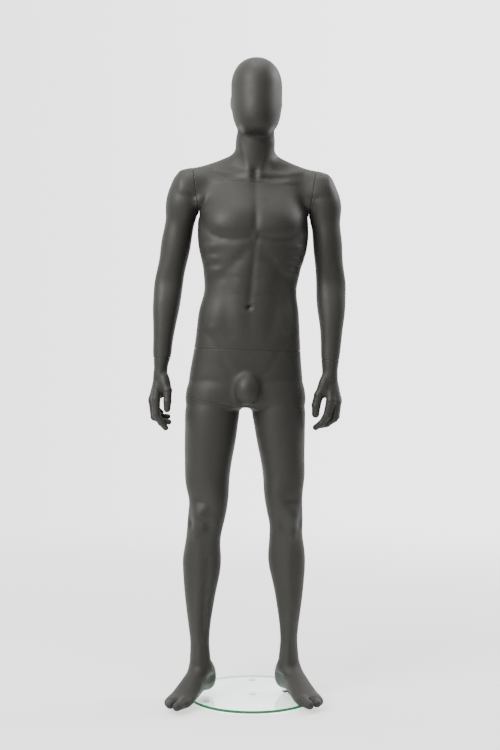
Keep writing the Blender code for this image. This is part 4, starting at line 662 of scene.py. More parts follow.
def from_trunk(u, v, w):
    """Back from the trunk's own frame, as from_hand and from_foot are from theirs."""
    z = w - LEAN * u
    x = MIDDLE(np.array([z]))[0, 0]
    return (x + u * math.cos(FACING) - v * math.sin(FACING), u * math.sin(FACING) + v * math.cos(FACING), z)


def from_hand(h, side):
    wrist, turn = WRISTS[side], math.radians(HAND_TURN[side])
    x = h[0] * math.cos(turn) - h[1] * math.sin(turn)
    y = -h[1] * math.cos(turn) - h[0] * math.sin(turn)
    return (wrist[0] + side * x, wrist[1] + y, wrist[2] - h[2])


def from_foot(f, side):
    x0, y0, turn = ANKLES[side]
    turn = math.radians(turn)
    x = f[0] * math.sin(turn) + f[1] * math.cos(turn)
    y = f[0] * math.cos(turn) - f[1] * math.sin(turn)
    return (x0 + side * x, y0 - y, f[2])


def row(sections, position):
    """A table's values at one place."""
    return sections[0](np.array([position]))[0]


def rough_trunk(bm):
    ring_mesh(bm, [[from_trunk(*v) for v in oval(row(TRUNK, z), z)] for z in np.linspace(0.865, 1.52, 22)])
    ring_mesh(bm, [[from_trunk(*v) for v in oval(row(NECK, z), z)] for z in np.linspace(1.46, 1.69, 10)])
    for side in SIDES:
        rings = []
        for a in np.linspace(-0.02, 0.21, 9):
            c = row(GIRDLE, a)
            ring = [from_trunk(side * a, c[0] + c[2] * math.cos(t),
                               c[1] + (c[4] if math.sin(t) > 0 else c[3]) * math.sin(t)) for t in around(20)]
            rings.append(ring if side > 0 else list(reversed(ring)))
        ring_mesh(bm, rings)
    capsule(bm, from_trunk(0, -0.080, 0.930), from_trunk(0, -0.080, 0.905), 0.034, 0.034)


def rough_head(bm):
    rings = []
    for k in range(1, 20):
        t = math.pi * (k / 20 - 0.5)
        share = math.cos(t) ** (0.7 if t < 0 else 1.0)
        z = 1.806 + 0.98 * math.sin(t) * (0.157 if t < 0 else 0.088)
        back = 0.20 * min(max(1.80 - z, 0), 0.2)
        section = oval((0, -0.006 - back, 0.0755 * share, 0.097 * share, 0.097 * share), z)
        rings.append([from_trunk(*v) for v in section])
    ring_mesh(bm, rings)


def rough_arm(bm, side):
    ring_mesh(bm, [oval(row(ARMS[side], z), z) for z in np.linspace(0.955, 1.50, 22)])
    capsule(bm, from_trunk(side * 0.160, -0.022, 1.470), from_trunk(side * 0.160, 0.055, 1.470), 0.014, 0.014)
    rings = []
    for k in range(1, 12):
        t = math.pi * (k / 12 - 0.5)
        r = 0.95 * math.cos(t)
        section = oval((side * 0.206, 0.020, 0.048 * r, 0.054 * r, 0.054 * r), 1.470 + 0.075 * math.sin(t))
        rings.append([from_trunk(*v) for v in section])
    ring_mesh(bm, rings)


def rough_leg(bm, side):
    heights = np.linspace(CAVITY_FLOOR, 0.945, 30)
    ring_mesh(bm, [oval(row(LEGS[side], z), z, side * row(LEGS[side], z)[5]) for z in heights])


def rough_foot(bm, side):
    rings = []
    for f in np.linspace(-0.03, 0.150, 12):
        c = row(FOOT, f)
        rings.append([from_foot((f, c[0] + 0.96 * c[2] * math.cos(t),
                                 c[1] + 0.96 * (c[4] if math.sin(t) > 0 else c[3]) * math.sin(t)), side)
                      for t in around(20)])
    ring_mesh(bm, rings)
    for a, b, ra, rb in (((-0.030, 0, 0.070), (-0.030, 0, 0.055), 0.026, 0.026),
                         ((0.140, -0.0215, 0.0275), (0.178, -0.0190, 0.0255), 0.0140, 0.0115),
                         ((0.138, 0.0090, 0.0265), (0.168, 0.0090, 0.0245), 0.0125, 0.0105),
                         ((0.130, 0.0260, 0.0255), (0.151, 0.0250, 0.0235), 0.0120, 0.0100)):
        capsule(bm, from_foot(a, side), from_foot(b, side), ra, rb)


def rough_body(bm, feet):
    """The whole figure without its hands; the hollow has no feet."""
    rough_trunk(bm)
    rough_head(bm)
    for side in SIDES:
        rough_arm(bm, side)
        rough_leg(bm, side)
        if feet:
            rough_foot(bm, side)


def rough_hand(bm, side):
    for joints, radii in FINGERS[side]:
        for i in range(len(joints) - 1):
            capsule(bm, from_hand(joints[i], side), from_hand(joints[i + 1], side),
                    0.95 * radii[i], 0.95 * radii[i + 1])
    for a, b, radius in (((-0.008, 0.020, 0.034), (-0.008, 0.020, 0.058), 0.011),
                         ((-0.002, -0.022, 0.035), (-0.002, -0.022, 0.078), 0.012)):
        capsule(bm, from_hand(a, side), from_hand(b, side), radius, radius)
    ring_mesh(bm, [oval(row(ARMS[side], z), z) for z in np.linspace(0.955, 1.06, 5)])


def link(mesh, name):
    ob = bpy.data.objects.new(name, mesh)
    bpy.context.scene.collection.objects.link(ob)
    return ob


def mesh_object(name, bm):
    bmesh.ops.recalc_face_normals(bm, faces=bm.faces)
    mesh = bpy.data.meshes.new(name)
    bm.to_mesh(mesh)
    bm.free()
    return link(mesh, name)


def apply(ob):
    """Bakes an object's modifiers into its mesh."""
    graph = bpy.context.evaluated_depsgraph_get()
    mesh = bpy.data.meshes.new_from_object(ob.evaluated_get(graph))
    ob.modifiers.clear()
    ob.data = mesh
    return ob


def positions(ob):
    co = np.empty(len(ob.data.vertices) * 3)
    ob.data.vertices.foreach_get("co", co)
    return co.reshape(-1, 3)


def move_to(ob, co):
    ob.data.vertices.foreach_set("co", co.ravel())
    ob.data.update()


def settled(ob, form, rounds):
    move_to(ob, settle(positions(ob), form, rounds=rounds))


def cavity(p):
    """The hollow inside the figure; the feet stay solid."""
    return np.maximum(body(p) + WALL, CAVITY_FLOOR - p[:, 2])


# ---------------------------------------------------------------- cutting tools
def cut(ob, tool, how="DIFFERENCE"):
    """A Boolean between fine closed meshes, which the exact solver tears."""
    boolean = ob.modifiers.new("Boolean", "BOOLEAN")
    boolean.operation = how
    boolean.solver = "MANIFOLD"
    boolean.object = tool
    apply(ob)
    return ob


def prism(points, y_low=-0.45, y_high=0.45):
    """A solid with the given outline in X and Z, through the figure from front to back."""
    bm = bmesh.new()
    ring_mesh(bm, [[(x, y, z) for x, z in points] for y in (y_low, y_high)])
    return mesh_object("tool", bm)


def cylinder(centre, axis, radius, low, high, count=16):
    bm = bmesh.new()
    axes = axis_frame(centre, axis)
    ring_mesh(bm, [[axes @ Vector((radius * math.cos(t), radius * math.sin(t), s)) for t in around(count)]
                   for s in (low, high)])
    return mesh_object("tool", bm)


def largest(ob):
    """Keeps an object's largest body, without the slivers that a cut can leave."""
    bm = bmesh.new()
    bm.from_mesh(ob.data)
    left = set(bm.verts)
    bodies = []
    while left:
        seed = [left.pop()]
        found = set(seed)
        while seed:
            vert = seed.pop()
            near = {edge.other_vert(vert) for edge in vert.link_edges} & left
            left -= near
            found |= near
            seed.extend(near)
        bodies.append(found)
    keep = max(bodies, key=len)
    bmesh.ops.delete(bm, geom=[vert for vert in bm.verts if vert not in keep], context="VERTS")
    bm.to_mesh(ob.data)
    bm.free()


def drop(*tools):
    for tool in tools:
        bpy.data.objects.remove(tool, do_unlink=True)


def copy_of(ob, name):
    return link(ob.data.copy(), name)


def seam_height(x, slope, centre):
    return centre.z - slope * (x - centre.x)


def waist_tool(up, ease):
    """Everything above the waist seam, or below it."""
    far = 2.2 if up else -0.3
    shift = ease if up else -ease
    low = [(x, seam_height(x, WAIST_SLOPE, WAIST) + shift) for x in (-0.6, 0.6)]
    return prism(low + [(0.6, far), (-0.6, far)])


def thigh_tool(ease):
    """Everything of the right leg below the thigh seam."""
    high = [(x, seam_height(x, -THIGH_SLOPE, THIGH) - ease) for x in (-0.6, CROTCH_X)]
    return prism(high + [(CROTCH_X, -0.3), (-0.6, -0.3)])


def arm_tool(side, ease, bottom):
    """Everything of one arm, outside the shoulder seam and the gap beside the trunk."""
    (x0, z0), (x1, z1) = SHOULDER_LOW[side], SHOULDER_HIGH[side]
    top = 1.70
    line = [(x1 + (x1 - x0) / (z1 - z0) * (top - z1), top), (x0, z0)] + ARM_GAP[side]
    line.append((line[-1][0], bottom))
    line = [(x + side * ease, z) for x, z in line]
    return prism(line + [(side * 0.6, bottom), (side * 0.6, top)])


def swing_tool(side):
    """The round space outside a shoulder seam in which the arm's top turns."""
    axes = shoulder_frame(side)
    return cylinder(axes.translation, axes.to_3x3().col[2], SWING_RADIUS, -SEAM, 0.03, 48)


def axis_frame(centre, axis, across=(0, 1, 0)):
    """A frame whose Z is the axis and whose Y is as near as can be to `across`."""
    z = Vector(axis).normalized()
    x = Vector(across).cross(z).normalized()
    y = z.cross(x)
    axes = Matrix((x, y, z)).transposed().to_4x4()
    axes.translation = Vector(centre)
    return axes


def turned(name, axes, profile, hollow=False, count=16):
    """Rings along the axes' Z, each (radius, distance)."""
    bm = bmesh.new()
    ring_mesh(bm, [[axes @ Vector((radius * math.cos(t), radius * math.sin(t), s)) for t in around(count)]
                   for radius, s in profile], hollow)
    return mesh_object(name, bm)


def outline(axes, inset, count, limit):
    """How far the figure's section reaches each way in the axes' XY plane, less the inset."""
    reach = np.linspace(0.004, limit, 500)
    found = []
    for t in around(count):
        line = [axes @ Vector((r * math.cos(t), r * math.sin(t), 0)) for r in reach]
        d = body(np.array([tuple(point) for point in line])) + inset
        found.append(reach[int(np.argmax(d > 0))] if d.max() > 0 else limit)
    return found


def waist_frame():
    return axis_frame(WAIST, (WAIST_SLOPE, 0, 1))


def thigh_frame():
    return axis_frame(THIGH, (-THIGH_SLOPE, 0, 1))


def shoulder_frame(side):
    (x0, z0), (x1, z1) = SHOULDER_LOW[side], SHOULDER_HIGH[side]
    along = Vector((x1 - x0, 0, z1 - z0)).normalized()
    outward = Vector((along.z, 0, -along.x)) * side
    middle = Vector(((x0 + x1) / 2, SHOULDER_DEEP, (z0 + z1) / 2))
    return axis_frame(middle, outward)


def wrist_frame(side):
    c = row(ARMS[side], WRIST_SEAM[side])
    return axis_frame((c[0], c[1] - 0.001, WRIST_SEAM[side]), (0, 0, 1))


# ---------------------------------------------------------------- fine surfaces
BODY_VOXEL, HAND_VOXEL = ((0.0040, 0.0015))
HOLLOW_VOXEL = 0.010
EDGE_SLOPE = 0.6                 # below this upward share of its normal a face of the glass is its edge, which is painted dark green with a painted glow
RIM = 0.0005                     # how far the skin turns in at a seam's edge
LOOPS = (0.0005, 0.0009, 0.0016, 0.0027)    # edge loops this far from a seam
LIP = 0.0013                     # how deep a seam's groove is
POCKET_RADIUS, POCKET_DEPTH = 0.0104, 0.0039    # each hand's pocket for its swivel
STUD_RADIUS, STUD_DEPTH = 0.0043, 0.031         # and the hole for its stud


def fine(name, bm, form, voxel):
    """One skin round the rough solids, drawn onto the form."""
    ob = mesh_object(name, bm)
    remesh = ob.modifiers.new("Remesh", "REMESH")
    remesh.mode = "VOXEL"
    remesh.voxel_size = voxel
    apply(ob)
    settled(ob, form, 5)
    for _ in range(2):
        relax = ob.modifiers.new("Smooth", "SMOOTH")
        relax.factor = 0.5
        relax.iterations = 2
        apply(ob)
        settled(ob, form, 1)
    return ob


def seam_planes():
    """Each seam: a point on it, its direction, and a test of which points are near it."""
    planes = [(WAIST, (WAIST_SLOPE, 0, 1), lambda c: np.abs(c[:, 0] - WAIST.x) < 0.175),
              (THIGH, (-THIGH_SLOPE, 0, 1), lambda c: c[:, 0] < CROTCH_X)]
    for side in SIDES:
        (x0, z0), (x1, z1) = SHOULDER_LOW[side], SHOULDER_HIGH[side]
        planes.append((Vector((x0, 0, z0)), (z1 - z0, 0, x0 - x1),
                       lambda c, side=side: (c[:, 2] > 1.43) & (c[:, 0] * side > 0.12)))
        planes.append((Vector((0, 0, WRIST_SEAM[side])), (0, 0, 1),
                       lambda c, side=side: c[:, 0] * side > 0.19))
    return planes


def seam_loops(ob):
    """Edge loops beside each seam, so that the skin can turn in there."""
    for point, normal, near in seam_planes():
        normal = Vector(normal).normalized()
        bm = bmesh.new()
        bm.from_mesh(ob.data)
        for offset in [sign * away for away in LOOPS for sign in (-1, 1)]:
            centres = np.array([tuple(face.calc_center_median()) for face in bm.faces])
            far = np.abs((centres - np.array(point)) @ np.array(normal) - offset) < 0.006
            chosen = [face for face, take in zip(bm.faces, far & near(centres)) if take]
            if not chosen:
                continue
            edges = {edge for face in chosen for edge in face.edges}
            verts = {vert for face in chosen for vert in face.verts}
            bmesh.ops.bisect_plane(bm, geom=chosen + list(edges | verts), dist=1e-6,
                                   plane_co=point + offset * normal, plane_no=normal)
        bm.to_mesh(ob.data)
        bm.free()


def rims(p):
    """How far the skin lies below the form, close to a seam."""
    down = np.zeros(len(p))
    for point, normal, near in seam_planes():
        normal = np.array(Vector(normal).normalized())
        away = np.abs((p - np.array(point)) @ normal)
        down = np.maximum(down, np.where(near(p), RIM * np.clip(1 - (away - SEAM) / 0.0022, 0, 1) ** 2, 0))
    return down


def rimmed(p):
    return body(p) + rims(p)


def turn_in(ob):
    """Turns the skin in a little along its seams."""
    seam_loops(ob)
    co = positions(ob)
    close = rims(co) > 0
    co[close] = settle(co[close], rimmed, rounds=2)
    move_to(ob, co)


def seam_lip(axes, rings, count=72):
    """A lip that closes a seam from within; each ring is (inset from the form or none, radius, distance)."""
    loops = []
    for inset, radius, s in rings:
        reach = [radius] * count
        if inset is not None:
            reach = outline(axes @ Matrix.Translation((0, 0, s)), inset, count, 0.22)
        loops.append([axes @ Vector((r * math.cos(t), r * math.sin(t), s))
                      for r, t in zip(reach, around(count))])
    bm = bmesh.new()
    ring_mesh(bm, loops, hollow=True)
    return mesh_object("lip", bm)


def close_seam(piece, lip):
    cut(piece, lip, "UNION")
    drop(lip)


def shells():
    """The shells, cut from one fine skin at the model's own seams, each with its hollow."""
    bm = bmesh.new()
    rough_body(bm, True)
    skin = fine("skin", bm, body, BODY_VOXEL)
    turn_in(skin)
    bm = bmesh.new()
    rough_body(bm, False)
    hollow = fine("hollow", bm, cavity, HOLLOW_VOXEL)
    arms = {side: arm_tool(side, -SEAM, 0.70) for side in SIDES}
    below, above = waist_tool(False, -SEAM), waist_tool(True, -SEAM)
    leg_space, leg_keep = thigh_tool(-SEAM), thigh_tool(SEAM)
    bore = cylinder((*SPIGOT, 0), (0, 0, 1), TUBE_OUTER + FIT, 0.0, CAVITY_FLOOR + 0.02, 48)
    names = ("torso_skin", "pelvis_left_leg_skin", "right_leg_skin")
    torso, pelvis, leg = (copy_of(skin, name) for name in names)
    swings = {side: swing_tool(side) for side in SIDES}
    for piece, tools in ((torso, (arms[-1], arms[1], swings[-1], swings[1], below)),
                         (pelvis, (arms[-1], arms[1], above, leg_space))):
        for tool in tools:
            cut(piece, tool)
    drop(*swings.values())
    cut(leg, leg_keep, "INTERSECT")
    pieces = {"torso_shell": torso, "pelvis_left_leg_shell": pelvis, "right_leg_shell": leg}
    for side, word in SIDES.items():
        sleeve = copy_of(skin, word + "_arm_skin")
        keep = arm_tool(side, SEAM, WRIST_SEAM[side] + SEAM)
        cut(sleeve, keep, "INTERSECT")
        drop(keep)
        pieces[word + "_arm_shell"] = sleeve
    for piece in pieces.values():
        cut(piece, hollow)
    cut(pelvis, bore)
    close_seam(pelvis, seam_lip(waist_frame(), [
        (0.0030, 0, -0.0045), (LIP, 0, -0.0015), (LIP, 0, 0.0002), (0.0060, 0, 0.0002), (0.0060, 0, 0.0045),
        (0.0083, 0, 0.0045), (0.0083, 0, -0.0045)]))
    close_seam(leg, seam_lip(thigh_frame(), [
        (0.0030, 0, -0.0045), (LIP, 0, -0.0015), (LIP, 0, 0.0002), (0.0083, 0, 0.0002),
        (0.0083, 0, -0.0045)]))
    drop(skin, hollow, below, above, leg_space, leg_keep, bore, arms[-1], arms[1])
    return pieces


def solid_hand(side, name):
    """A hand, cut at the wrist, with a pocket for its stud and swivel."""
    bm = bmesh.new()
    rough_hand(bm, side)
    piece = fine(name, bm, body, HAND_VOXEL)
    turn_in(piece)
    top = WRIST_SEAM[side] - SEAM
    over = prism([(-0.6, top), (0.6, top), (0.6, 1.3), (-0.6, 1.3)])
    at = wrist_frame(side).translation
    pocket = cylinder(at, (0, 0, 1), POCKET_RADIUS, -POCKET_DEPTH, 0.01, 32)
    hole = cylinder(at, (0, 0, 1), STUD_RADIUS, -STUD_DEPTH, 0.01, 24)
    for tool in (over, pocket, hole):
        cut(piece, tool)
    close_seam(piece, seam_lip(wrist_frame(side), [
        (0.0030, 0, -0.0030), (LIP, 0, -0.0015), (LIP, 0, 0.0002), (None, 0.0119, 0.0002),
        (None, 0.0119, -0.0030)], 48))
    drop(over, pocket, hole)
    return piece


def figure_pieces():
    """The figure's shells and hands, each in place of its CAD node."""
    pieces = shells()
    for side, word in SIDES.items():
        pieces[word + "_hand"] = solid_hand(side, word + "_hand_skin")
    for node, piece in pieces.items():
        largest(piece)
        dress(piece, node, LACQUER, "skin", 50.0)


def dress(piece, node, material, slot, sharp=30.0):
    """The piece stands for a CAD node: its body and its material; a piece whose slot is not skin has its level
    faces shaded flat.
    """
    piece.data.materials.clear()
    piece.data.materials.append(material)
    piece.data.shade_smooth()
    piece.data.set_sharp_from_angle(angle=math.radians(sharp))
    for polygon in piece.data.polygons:
        if slot != "skin" and abs(polygon.normal.z) > 0.9999:
            polygon.use_smooth = False
    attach(piece, frame["nodes"][node]["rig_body"])
    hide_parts(node)
    return piece


# ---------------------------------------------------------------- materials
def add_node(tree, kind, inputs=None, **settings):
    """A node whose inputs are linked or set."""
    node = tree.nodes.new("ShaderNode" + kind)
    for key, value in settings.items():
        setattr(node, key, value)
    for key, value in (inputs or {}).items():
        if isinstance(value, bpy.types.NodeSocket):
            tree.links.new(value, node.inputs[key])
        else:
            node.inputs[key].default_value = value
    return node


class Nodes:
    """A material's node tree, with short ways to add to it."""

    def __init__(self, name, colour, roughness, metallic=0.0):
        self.material = bpy.data.materials.new(name)
        self.material.use_nodes = True
        self.tree = self.material.node_tree
        self.shader = self.tree.nodes["Principled BSDF"]
        self.shader.inputs["Base Color"].default_value = (*colour, 1)
        self.shader.inputs["Roughness"].default_value = roughness
        self.shader.inputs["Metallic"].default_value = metallic
        self.place = self.tree.nodes.new("ShaderNodeTexCoord").outputs["Object"]

    def add(self, kind, inputs=None, **settings):
        return add_node(self.tree, kind, inputs, **settings)

    def noise(self, scale, detail=3.0, stretch=(1, 1, 1), roughness=0.5):
        place = self.place
        if stretch != (1, 1, 1):
            place = self.add("Mapping", {"Vector": place, "Scale": stretch}).outputs[0]
        return self.add("TexNoise", {"Vector": place, "Scale": scale, "Detail": detail,
                                     "Roughness": roughness}).outputs["Fac"]

    def spread(self, value, low, high, start=0.3, end=0.7):
        return self.add("MapRange", {"Value": value, "From Min": start, "From Max": end, "To Min": low,
                                     "To Max": high}).outputs["Result"]

    def shade(self, value, dark, light, start=0.3, end=0.7):
        ramp = self.add("ValToRGB", {"Fac": value})
        ramp.color_ramp.elements[0].position, ramp.color_ramp.elements[1].position = start, end
        ramp.color_ramp.elements[0].color = (*dark, 1)
        ramp.color_ramp.elements[1].color = (*light, 1)
        return ramp.outputs["Color"]

    def set(self, name, value):
        self.tree.links.new(value, self.shader.inputs[name])

    def bump(self, heights):
        """Heights as (value, strength, distance), one over another."""
        normal = None
        for value, strength, distance in heights:
            inputs = {"Height": value, "Strength": strength, "Distance": distance}
            if normal is not None:
                inputs["Normal"] = normal
            normal = self.add("Bump", inputs).outputs["Normal"]
        self.set("Normal", normal)


def lacquer():
    """Matt grey lacquer over fibreglass: a fine sprayed grain and slow changes of tone and sheen."""
    n = Nodes("grey_lacquer", (0.040, 0.038, 0.034), 0.5)
    tone = n.noise(5.0, 4.0)
    n.set("Base Color", n.shade(tone, (0.036, 0.0345, 0.0300), (0.044, 0.0420, 0.0370)))
    n.set("Roughness", n.spread(n.noise(38.0, 5.0), 0.52, 0.60))
    n.shader.inputs["Specular IOR Level"].default_value = 0.5
    n.bump([(n.noise(14.0, 2.0), 0.05, 0.004), (n.noise(1400.0, 2.0), 0.10, 0.00025)])
    return n.material


def board_material():
    n = Nodes("fibreboard", (0.42, 0.30, 0.19), 0.8)
    fibre = n.noise(420.0, 6.0, (1, 1, 2.4), 0.7)
    n.set("Base Color", n.shade(fibre, (0.24, 0.155, 0.088), (0.47, 0.345, 0.22)))
    n.set("Roughness", n.spread(fibre, 0.75, 0.9))
    n.bump([(fibre, 0.25, 0.0006)])
    return n.material


def metal(name, colour, low, high, grain=(1, 1, 1), scale=700.0):
    n = Nodes(name, colour, low, 1.0)
    lines = n.noise(scale, 4.0, grain)
    n.set("Roughness", n.spread(lines, low, high))
    stain = n.noise(60.0, 3.0)
    n.set("Base Color", n.shade(stain, tuple(0.86 * c for c in colour), colour))
    n.bump([(lines, 0.06, 0.0002)])
    return n.material


def soft_clear():
    """Milky clear silicone, for the feet under the glass."""
    n = Nodes("clear_silicone", (0.86, 0.88, 0.87), 0.35)
    n.shader.inputs["Transmission Weight"].default_value = 0.92
    n.shader.inputs["IOR"].default_value = 1.41
    cloud = n.noise(160.0, 3.0)
    n.set("Base Color", n.shade(cloud, (0.80, 0.82, 0.81), (0.92, 0.94, 0.93)))
    n.set("Roughness", n.spread(cloud, 0.28, 0.45))
    return n.material


def clear_glass():
    """Float glass: clear through its faces, green through its depth; lamps shine through it. Its ground edge is
    painted an opaque dark green with a painted green glow.
    """
    n = Nodes("float_glass", (0.97, 1.0, 0.985), 0.02)
    n.shader.inputs["Transmission Weight"].default_value = 1.0
    n.shader.inputs["IOR"].default_value = 1.5
    smear = n.noise(9.0, 4.0)
    n.set("Roughness", n.spread(smear, 0.01, 0.035))
    absorb = n.add("VolumeAbsorption", {"Color": (0.0, 0.65, 0.32, 1), "Density": 9.0})
    out = n.tree.nodes["Material Output"]
    n.tree.links.new(absorb.outputs[0], out.inputs["Volume"])
    lamps = n.add("LightPath").outputs["Is Shadow Ray"]
    clear = n.add("BsdfTransparent", {"Color": (0.95, 0.98, 0.96, 1)})
    # the ground edge is painted an opaque dark green and given a painted green glow, standing in for the light
    # seen through the glass's depth
    edge = n.add("BsdfPrincipled", {"Base Color": (0.012, 0.11, 0.042, 1), "Roughness": 0.22})
    edge.inputs["Emission Color"].default_value = (0.010, 0.13, 0.048, 1)
    edge.inputs["Emission Strength"].default_value = 1.0
    rise = n.add("SeparateXYZ", {0: n.add("NewGeometry").outputs["True Normal"]}).outputs["Z"]
    slope = n.add("Math", {0: rise}, operation="ABSOLUTE").outputs[0]
    upright = n.add("Math", {0: slope, 1: EDGE_SLOPE}, operation="LESS_THAN").outputs[0]
    pane = n.add("MixShader", {0: upright, 1: n.shader.outputs[0], 2: edge.outputs[0]})
    mix = n.add("MixShader", {0: lamps, 1: pane.outputs[0], 2: clear.outputs[0]})
    n.tree.links.new(mix.outputs[0], out.inputs["Surface"])
    return n.material


# ---------------------------------------------------------------- base and fittings
def rounded(ob, width, segments=3):
    bevel = ob.modifiers.new("Bevel", "BEVEL")
    bevel.width = width
    bevel.segments = segments
    bevel.limit_method = "ANGLE"
    bevel.angle_limit = math.radians(40)
    bevel.harden_normals = False
    return apply(ob)


def glass_base():
    disc = cylinder((0, 0, 0), (0, 0, 1), GLASS_RADIUS, GLASS_BOTTOM, GLASS_TOP, 192)
    hole = cylinder((*SPIGOT, 0), (0, 0, 1), 0.0070, 0.0, 0.02, 48)
    cut(disc, hole)
    drop(hole)
    disc.name = "glass_base"
    rounded(disc, 0.0011)
    dress(disc, "glass_disc", GLASS, "glass", 40.0)


def pads():
    for node in ("pad_centre", "pad_1", "pad_2", "pad_3"):
        low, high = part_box(node)
        middle = (low + high) / 2
        pad = cylinder((middle.x, middle.y, 0), (0, 0, 1), PAD_RADIUS, 0.0, PAD_HEIGHT, 48)
        pad.name = node + "_round"
        rounded(pad, 0.0006)
        dress(pad, node, SILICONE, "rubber", 40.0)


def lathe(node, name, axes, profile, material, slot, hollow=False, bevel=0.0003, count=64):
    """A turned piece that stands for its CAD node."""
    piece = turned(name, axes, profile, hollow, count)
    rounded(piece, bevel, 2)
    return dress(piece, node, material, slot, 40.0)


def base_metal():
    upright = axis_frame((*SPIGOT, 0), (0, 0, 1))
    low = GLASS_TOP + 0.0009
    lathe("base_flange", "spigot_flange", upright, [
        (0.0250, low), (0.0250, low + 0.0024), (0.0243, low + 0.0033), (0.0230, low + 0.0040),
        (0.0112, low + 0.0040), (0.0105, low + 0.0047), (0.0105, COLLAR_TOP - 0.0006), (0.0099, COLLAR_TOP),
        (ROD_RADIUS + 0.0002, COLLAR_TOP), (ROD_RADIUS + 0.0002, low)], CHROME, "chrome", True, 0.0002, 96)
    lathe("spigot_rod", "steel_rod", upright, [
        (0.0048, ROD_TOP), (ROD_RADIUS, ROD_TOP - 0.0015), (ROD_RADIUS, low), (0.0042, low),
        (0.0042, 0.0350)], STEEL, "steel", False, 0.0001, 48)
    lathe("base_gasket", "gasket", upright, [
        (0.023, GLASS_TOP + 0.0001), (0.023, GLASS_TOP + 0.0007), (0.008, GLASS_TOP + 0.0007),
        (0.008, GLASS_TOP + 0.0001)], SILICONE, "rubber", True, 0.0001, 64)


def fittings():
    """The inner fittings show as the CAD has them, with their own materials."""
    kinds = {"board": BOARD, "steel": STEEL, "zinc": ZINC}
    for part in frame["record"]["subparts"]:
        ob = frame["nodes"][part["node"]]
        if not ob.hide_render:
            ob.data.materials.clear()
            ob.data.materials.append(kinds[part["material_slot"]])


# ---------------------------------------------------------------- the studio
WORLD_FRONT, WORLD_BACK = 0.17, 1.9    # the light that reaches the figure from the front and from behind
WORLD_LEFT, WORLD_SEEN = 2.7, 3.4      # the backdrop that is seen, at the left and across the rest
FLOOR_LIFT = 1.15                      # how much the seen floor is brightened to meet the backdrop
KEY, RIM_LAMP, TOP = 165, 50, 45       # the lamps' watts
SENSOR, LENS = 24.0, 39.264            # the camera's sensor height and focal length in mm
CAMERA = (-0.007, -3.643, 1.034)
CAMERA_DIP = 0.02037                   # how far the view drops, per metre


def lamp(name, place, target, size, power, colour=(1, 1, 1)):
    data = bpy.data.lights.new(name, "AREA")
    data.shape = "RECTANGLE"
    data.size, data.size_y = size
    data.energy = power
    data.color = colour
    ob = bpy.data.objects.new(name, data)
    ob.location = place
    ob.rotation_euler = (Vector(target) - Vector(place)).to_track_quat("-Z", "Y").to_euler()
    ob.visible_camera = False
    bpy.context.scene.collection.objects.link(ob)


def pale_floor():
    """A floor that fades into the backdrop."""
    bm = bmesh.new()
    bmesh.ops.create_circle(bm, cap_ends=True, radius=14.0, segments=96)
    floor = mesh_object("floor", bm)
    n = Nodes("pale_floor", (0.80, 0.80, 0.79), 0.75)
    n.shader.inputs["Specular IOR Level"].default_value = 0.0
    n.shader.inputs["Emission Color"].default_value = (1, 1, 1, 1)
    path = n.add("LightPath")
    seen = n.add("Math", {0: path.outputs["Is Camera Ray"], 1: path.outputs["Is Transmission Ray"]},
                 operation="MAXIMUM").outputs[0]
    n.set("Emission Strength", n.spread(seen, 0.0, FLOOR_LIFT, 0.0, 1.0))
    reach = n.add("VectorMath", {0: n.place}, operation="LENGTH").outputs["Value"]
    fade = n.add("MapRange", {"Value": reach, "From Min": 0.5, "From Max": 4.0},
                 interpolation_type="SMOOTHSTEP")
    mix = n.add("MixShader", {0: fade.outputs["Result"], 1: n.shader.outputs[0],
                              2: n.add("BsdfTransparent").outputs[0]})
    n.tree.links.new(mix.outputs[0], n.tree.nodes["Material Output"].inputs["Surface"])
    floor.data.materials.append(n.material)


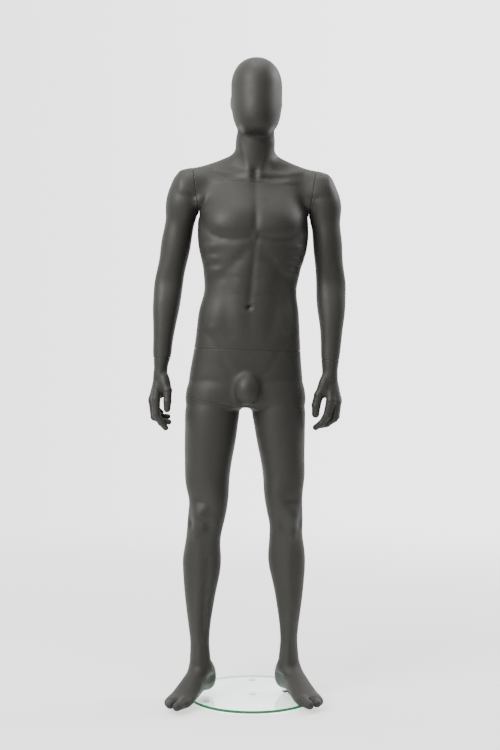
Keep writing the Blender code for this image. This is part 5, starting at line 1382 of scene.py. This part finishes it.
def backdrop():
    """Bright behind the figure, and dim in front of it."""
    world = bpy.data.worlds.new("studio")
    bpy.context.scene.world = world
    world.use_nodes = True
    tree = world.node_tree

    def add(kind, inputs, **settings):
        return add_node(tree, kind, inputs, **settings)

    ways = add("SeparateXYZ", {"Vector": add("TexCoord", {}).outputs["Generated"]})
    lit = add("MapRange", {"Value": ways.outputs["Y"], "From Min": -0.15, "From Max": 0.75,
                           "To Min": WORLD_FRONT, "To Max": WORLD_BACK}, interpolation_type="SMOOTHSTEP")
    shown = add("MapRange", {"Value": ways.outputs["X"], "From Min": -0.22, "From Max": 0.10,
                             "To Min": WORLD_LEFT, "To Max": WORLD_SEEN})
    path = add("LightPath", {})
    seen = add("Math", {0: path.outputs["Is Camera Ray"], 1: path.outputs["Is Transmission Ray"]},
               operation="MAXIMUM")
    level = add("MapRange", {"Value": seen.outputs[0], "To Min": lit.outputs["Result"],
                             "To Max": shown.outputs["Result"]})
    back = tree.nodes["Background"]
    back.inputs["Color"].default_value = (0.985, 1.0, 0.99, 1)
    tree.links.new(level.outputs["Result"], back.inputs["Strength"])


def lamps():
    lamp("key", (-2.3, -2.35, 3.1), (0, 0, 1.42), (2.1, 2.1), KEY, (1, 0.995, 0.98))
    lamp("rim", (2.4, 0.9, 3.1), (0, 0, 1.7), (0.6, 1.2), RIM_LAMP, (1, 0.985, 0.96))
    lamp("top", (0.0, -0.4, 3.9), (0, 0, 1.0), (1.8, 1.8), TOP)


def camera():
    """The view from straight in front, at hip height, nearly level."""
    data = bpy.data.cameras.new("camera")
    data.sensor_fit = "VERTICAL"
    data.sensor_height = SENSOR
    data.lens = LENS
    ob = bpy.data.objects.new("camera", data)
    ob.location = CAMERA
    ob.rotation_euler = (math.pi / 2 - math.atan(CAMERA_DIP), 0, 0)
    bpy.context.scene.collection.objects.link(ob)
    bpy.context.scene.camera = ob


LACQUER = lacquer()
BOARD = board_material()
STEEL = metal("turned_steel", (0.60, 0.60, 0.61), 0.22, 0.42, (1, 1, 6))
ZINC = metal("zinc_plate", (0.66, 0.64, 0.58), 0.30, 0.50)
CHROME = metal("polished_chrome", (0.80, 0.81, 0.82), 0.05, 0.14)
SILICONE = soft_clear()
GLASS = clear_glass()

camera()
figure_pieces()
glass_base()
pads()
base_metal()
fittings()
pale_floor()
backdrop()
lamps()
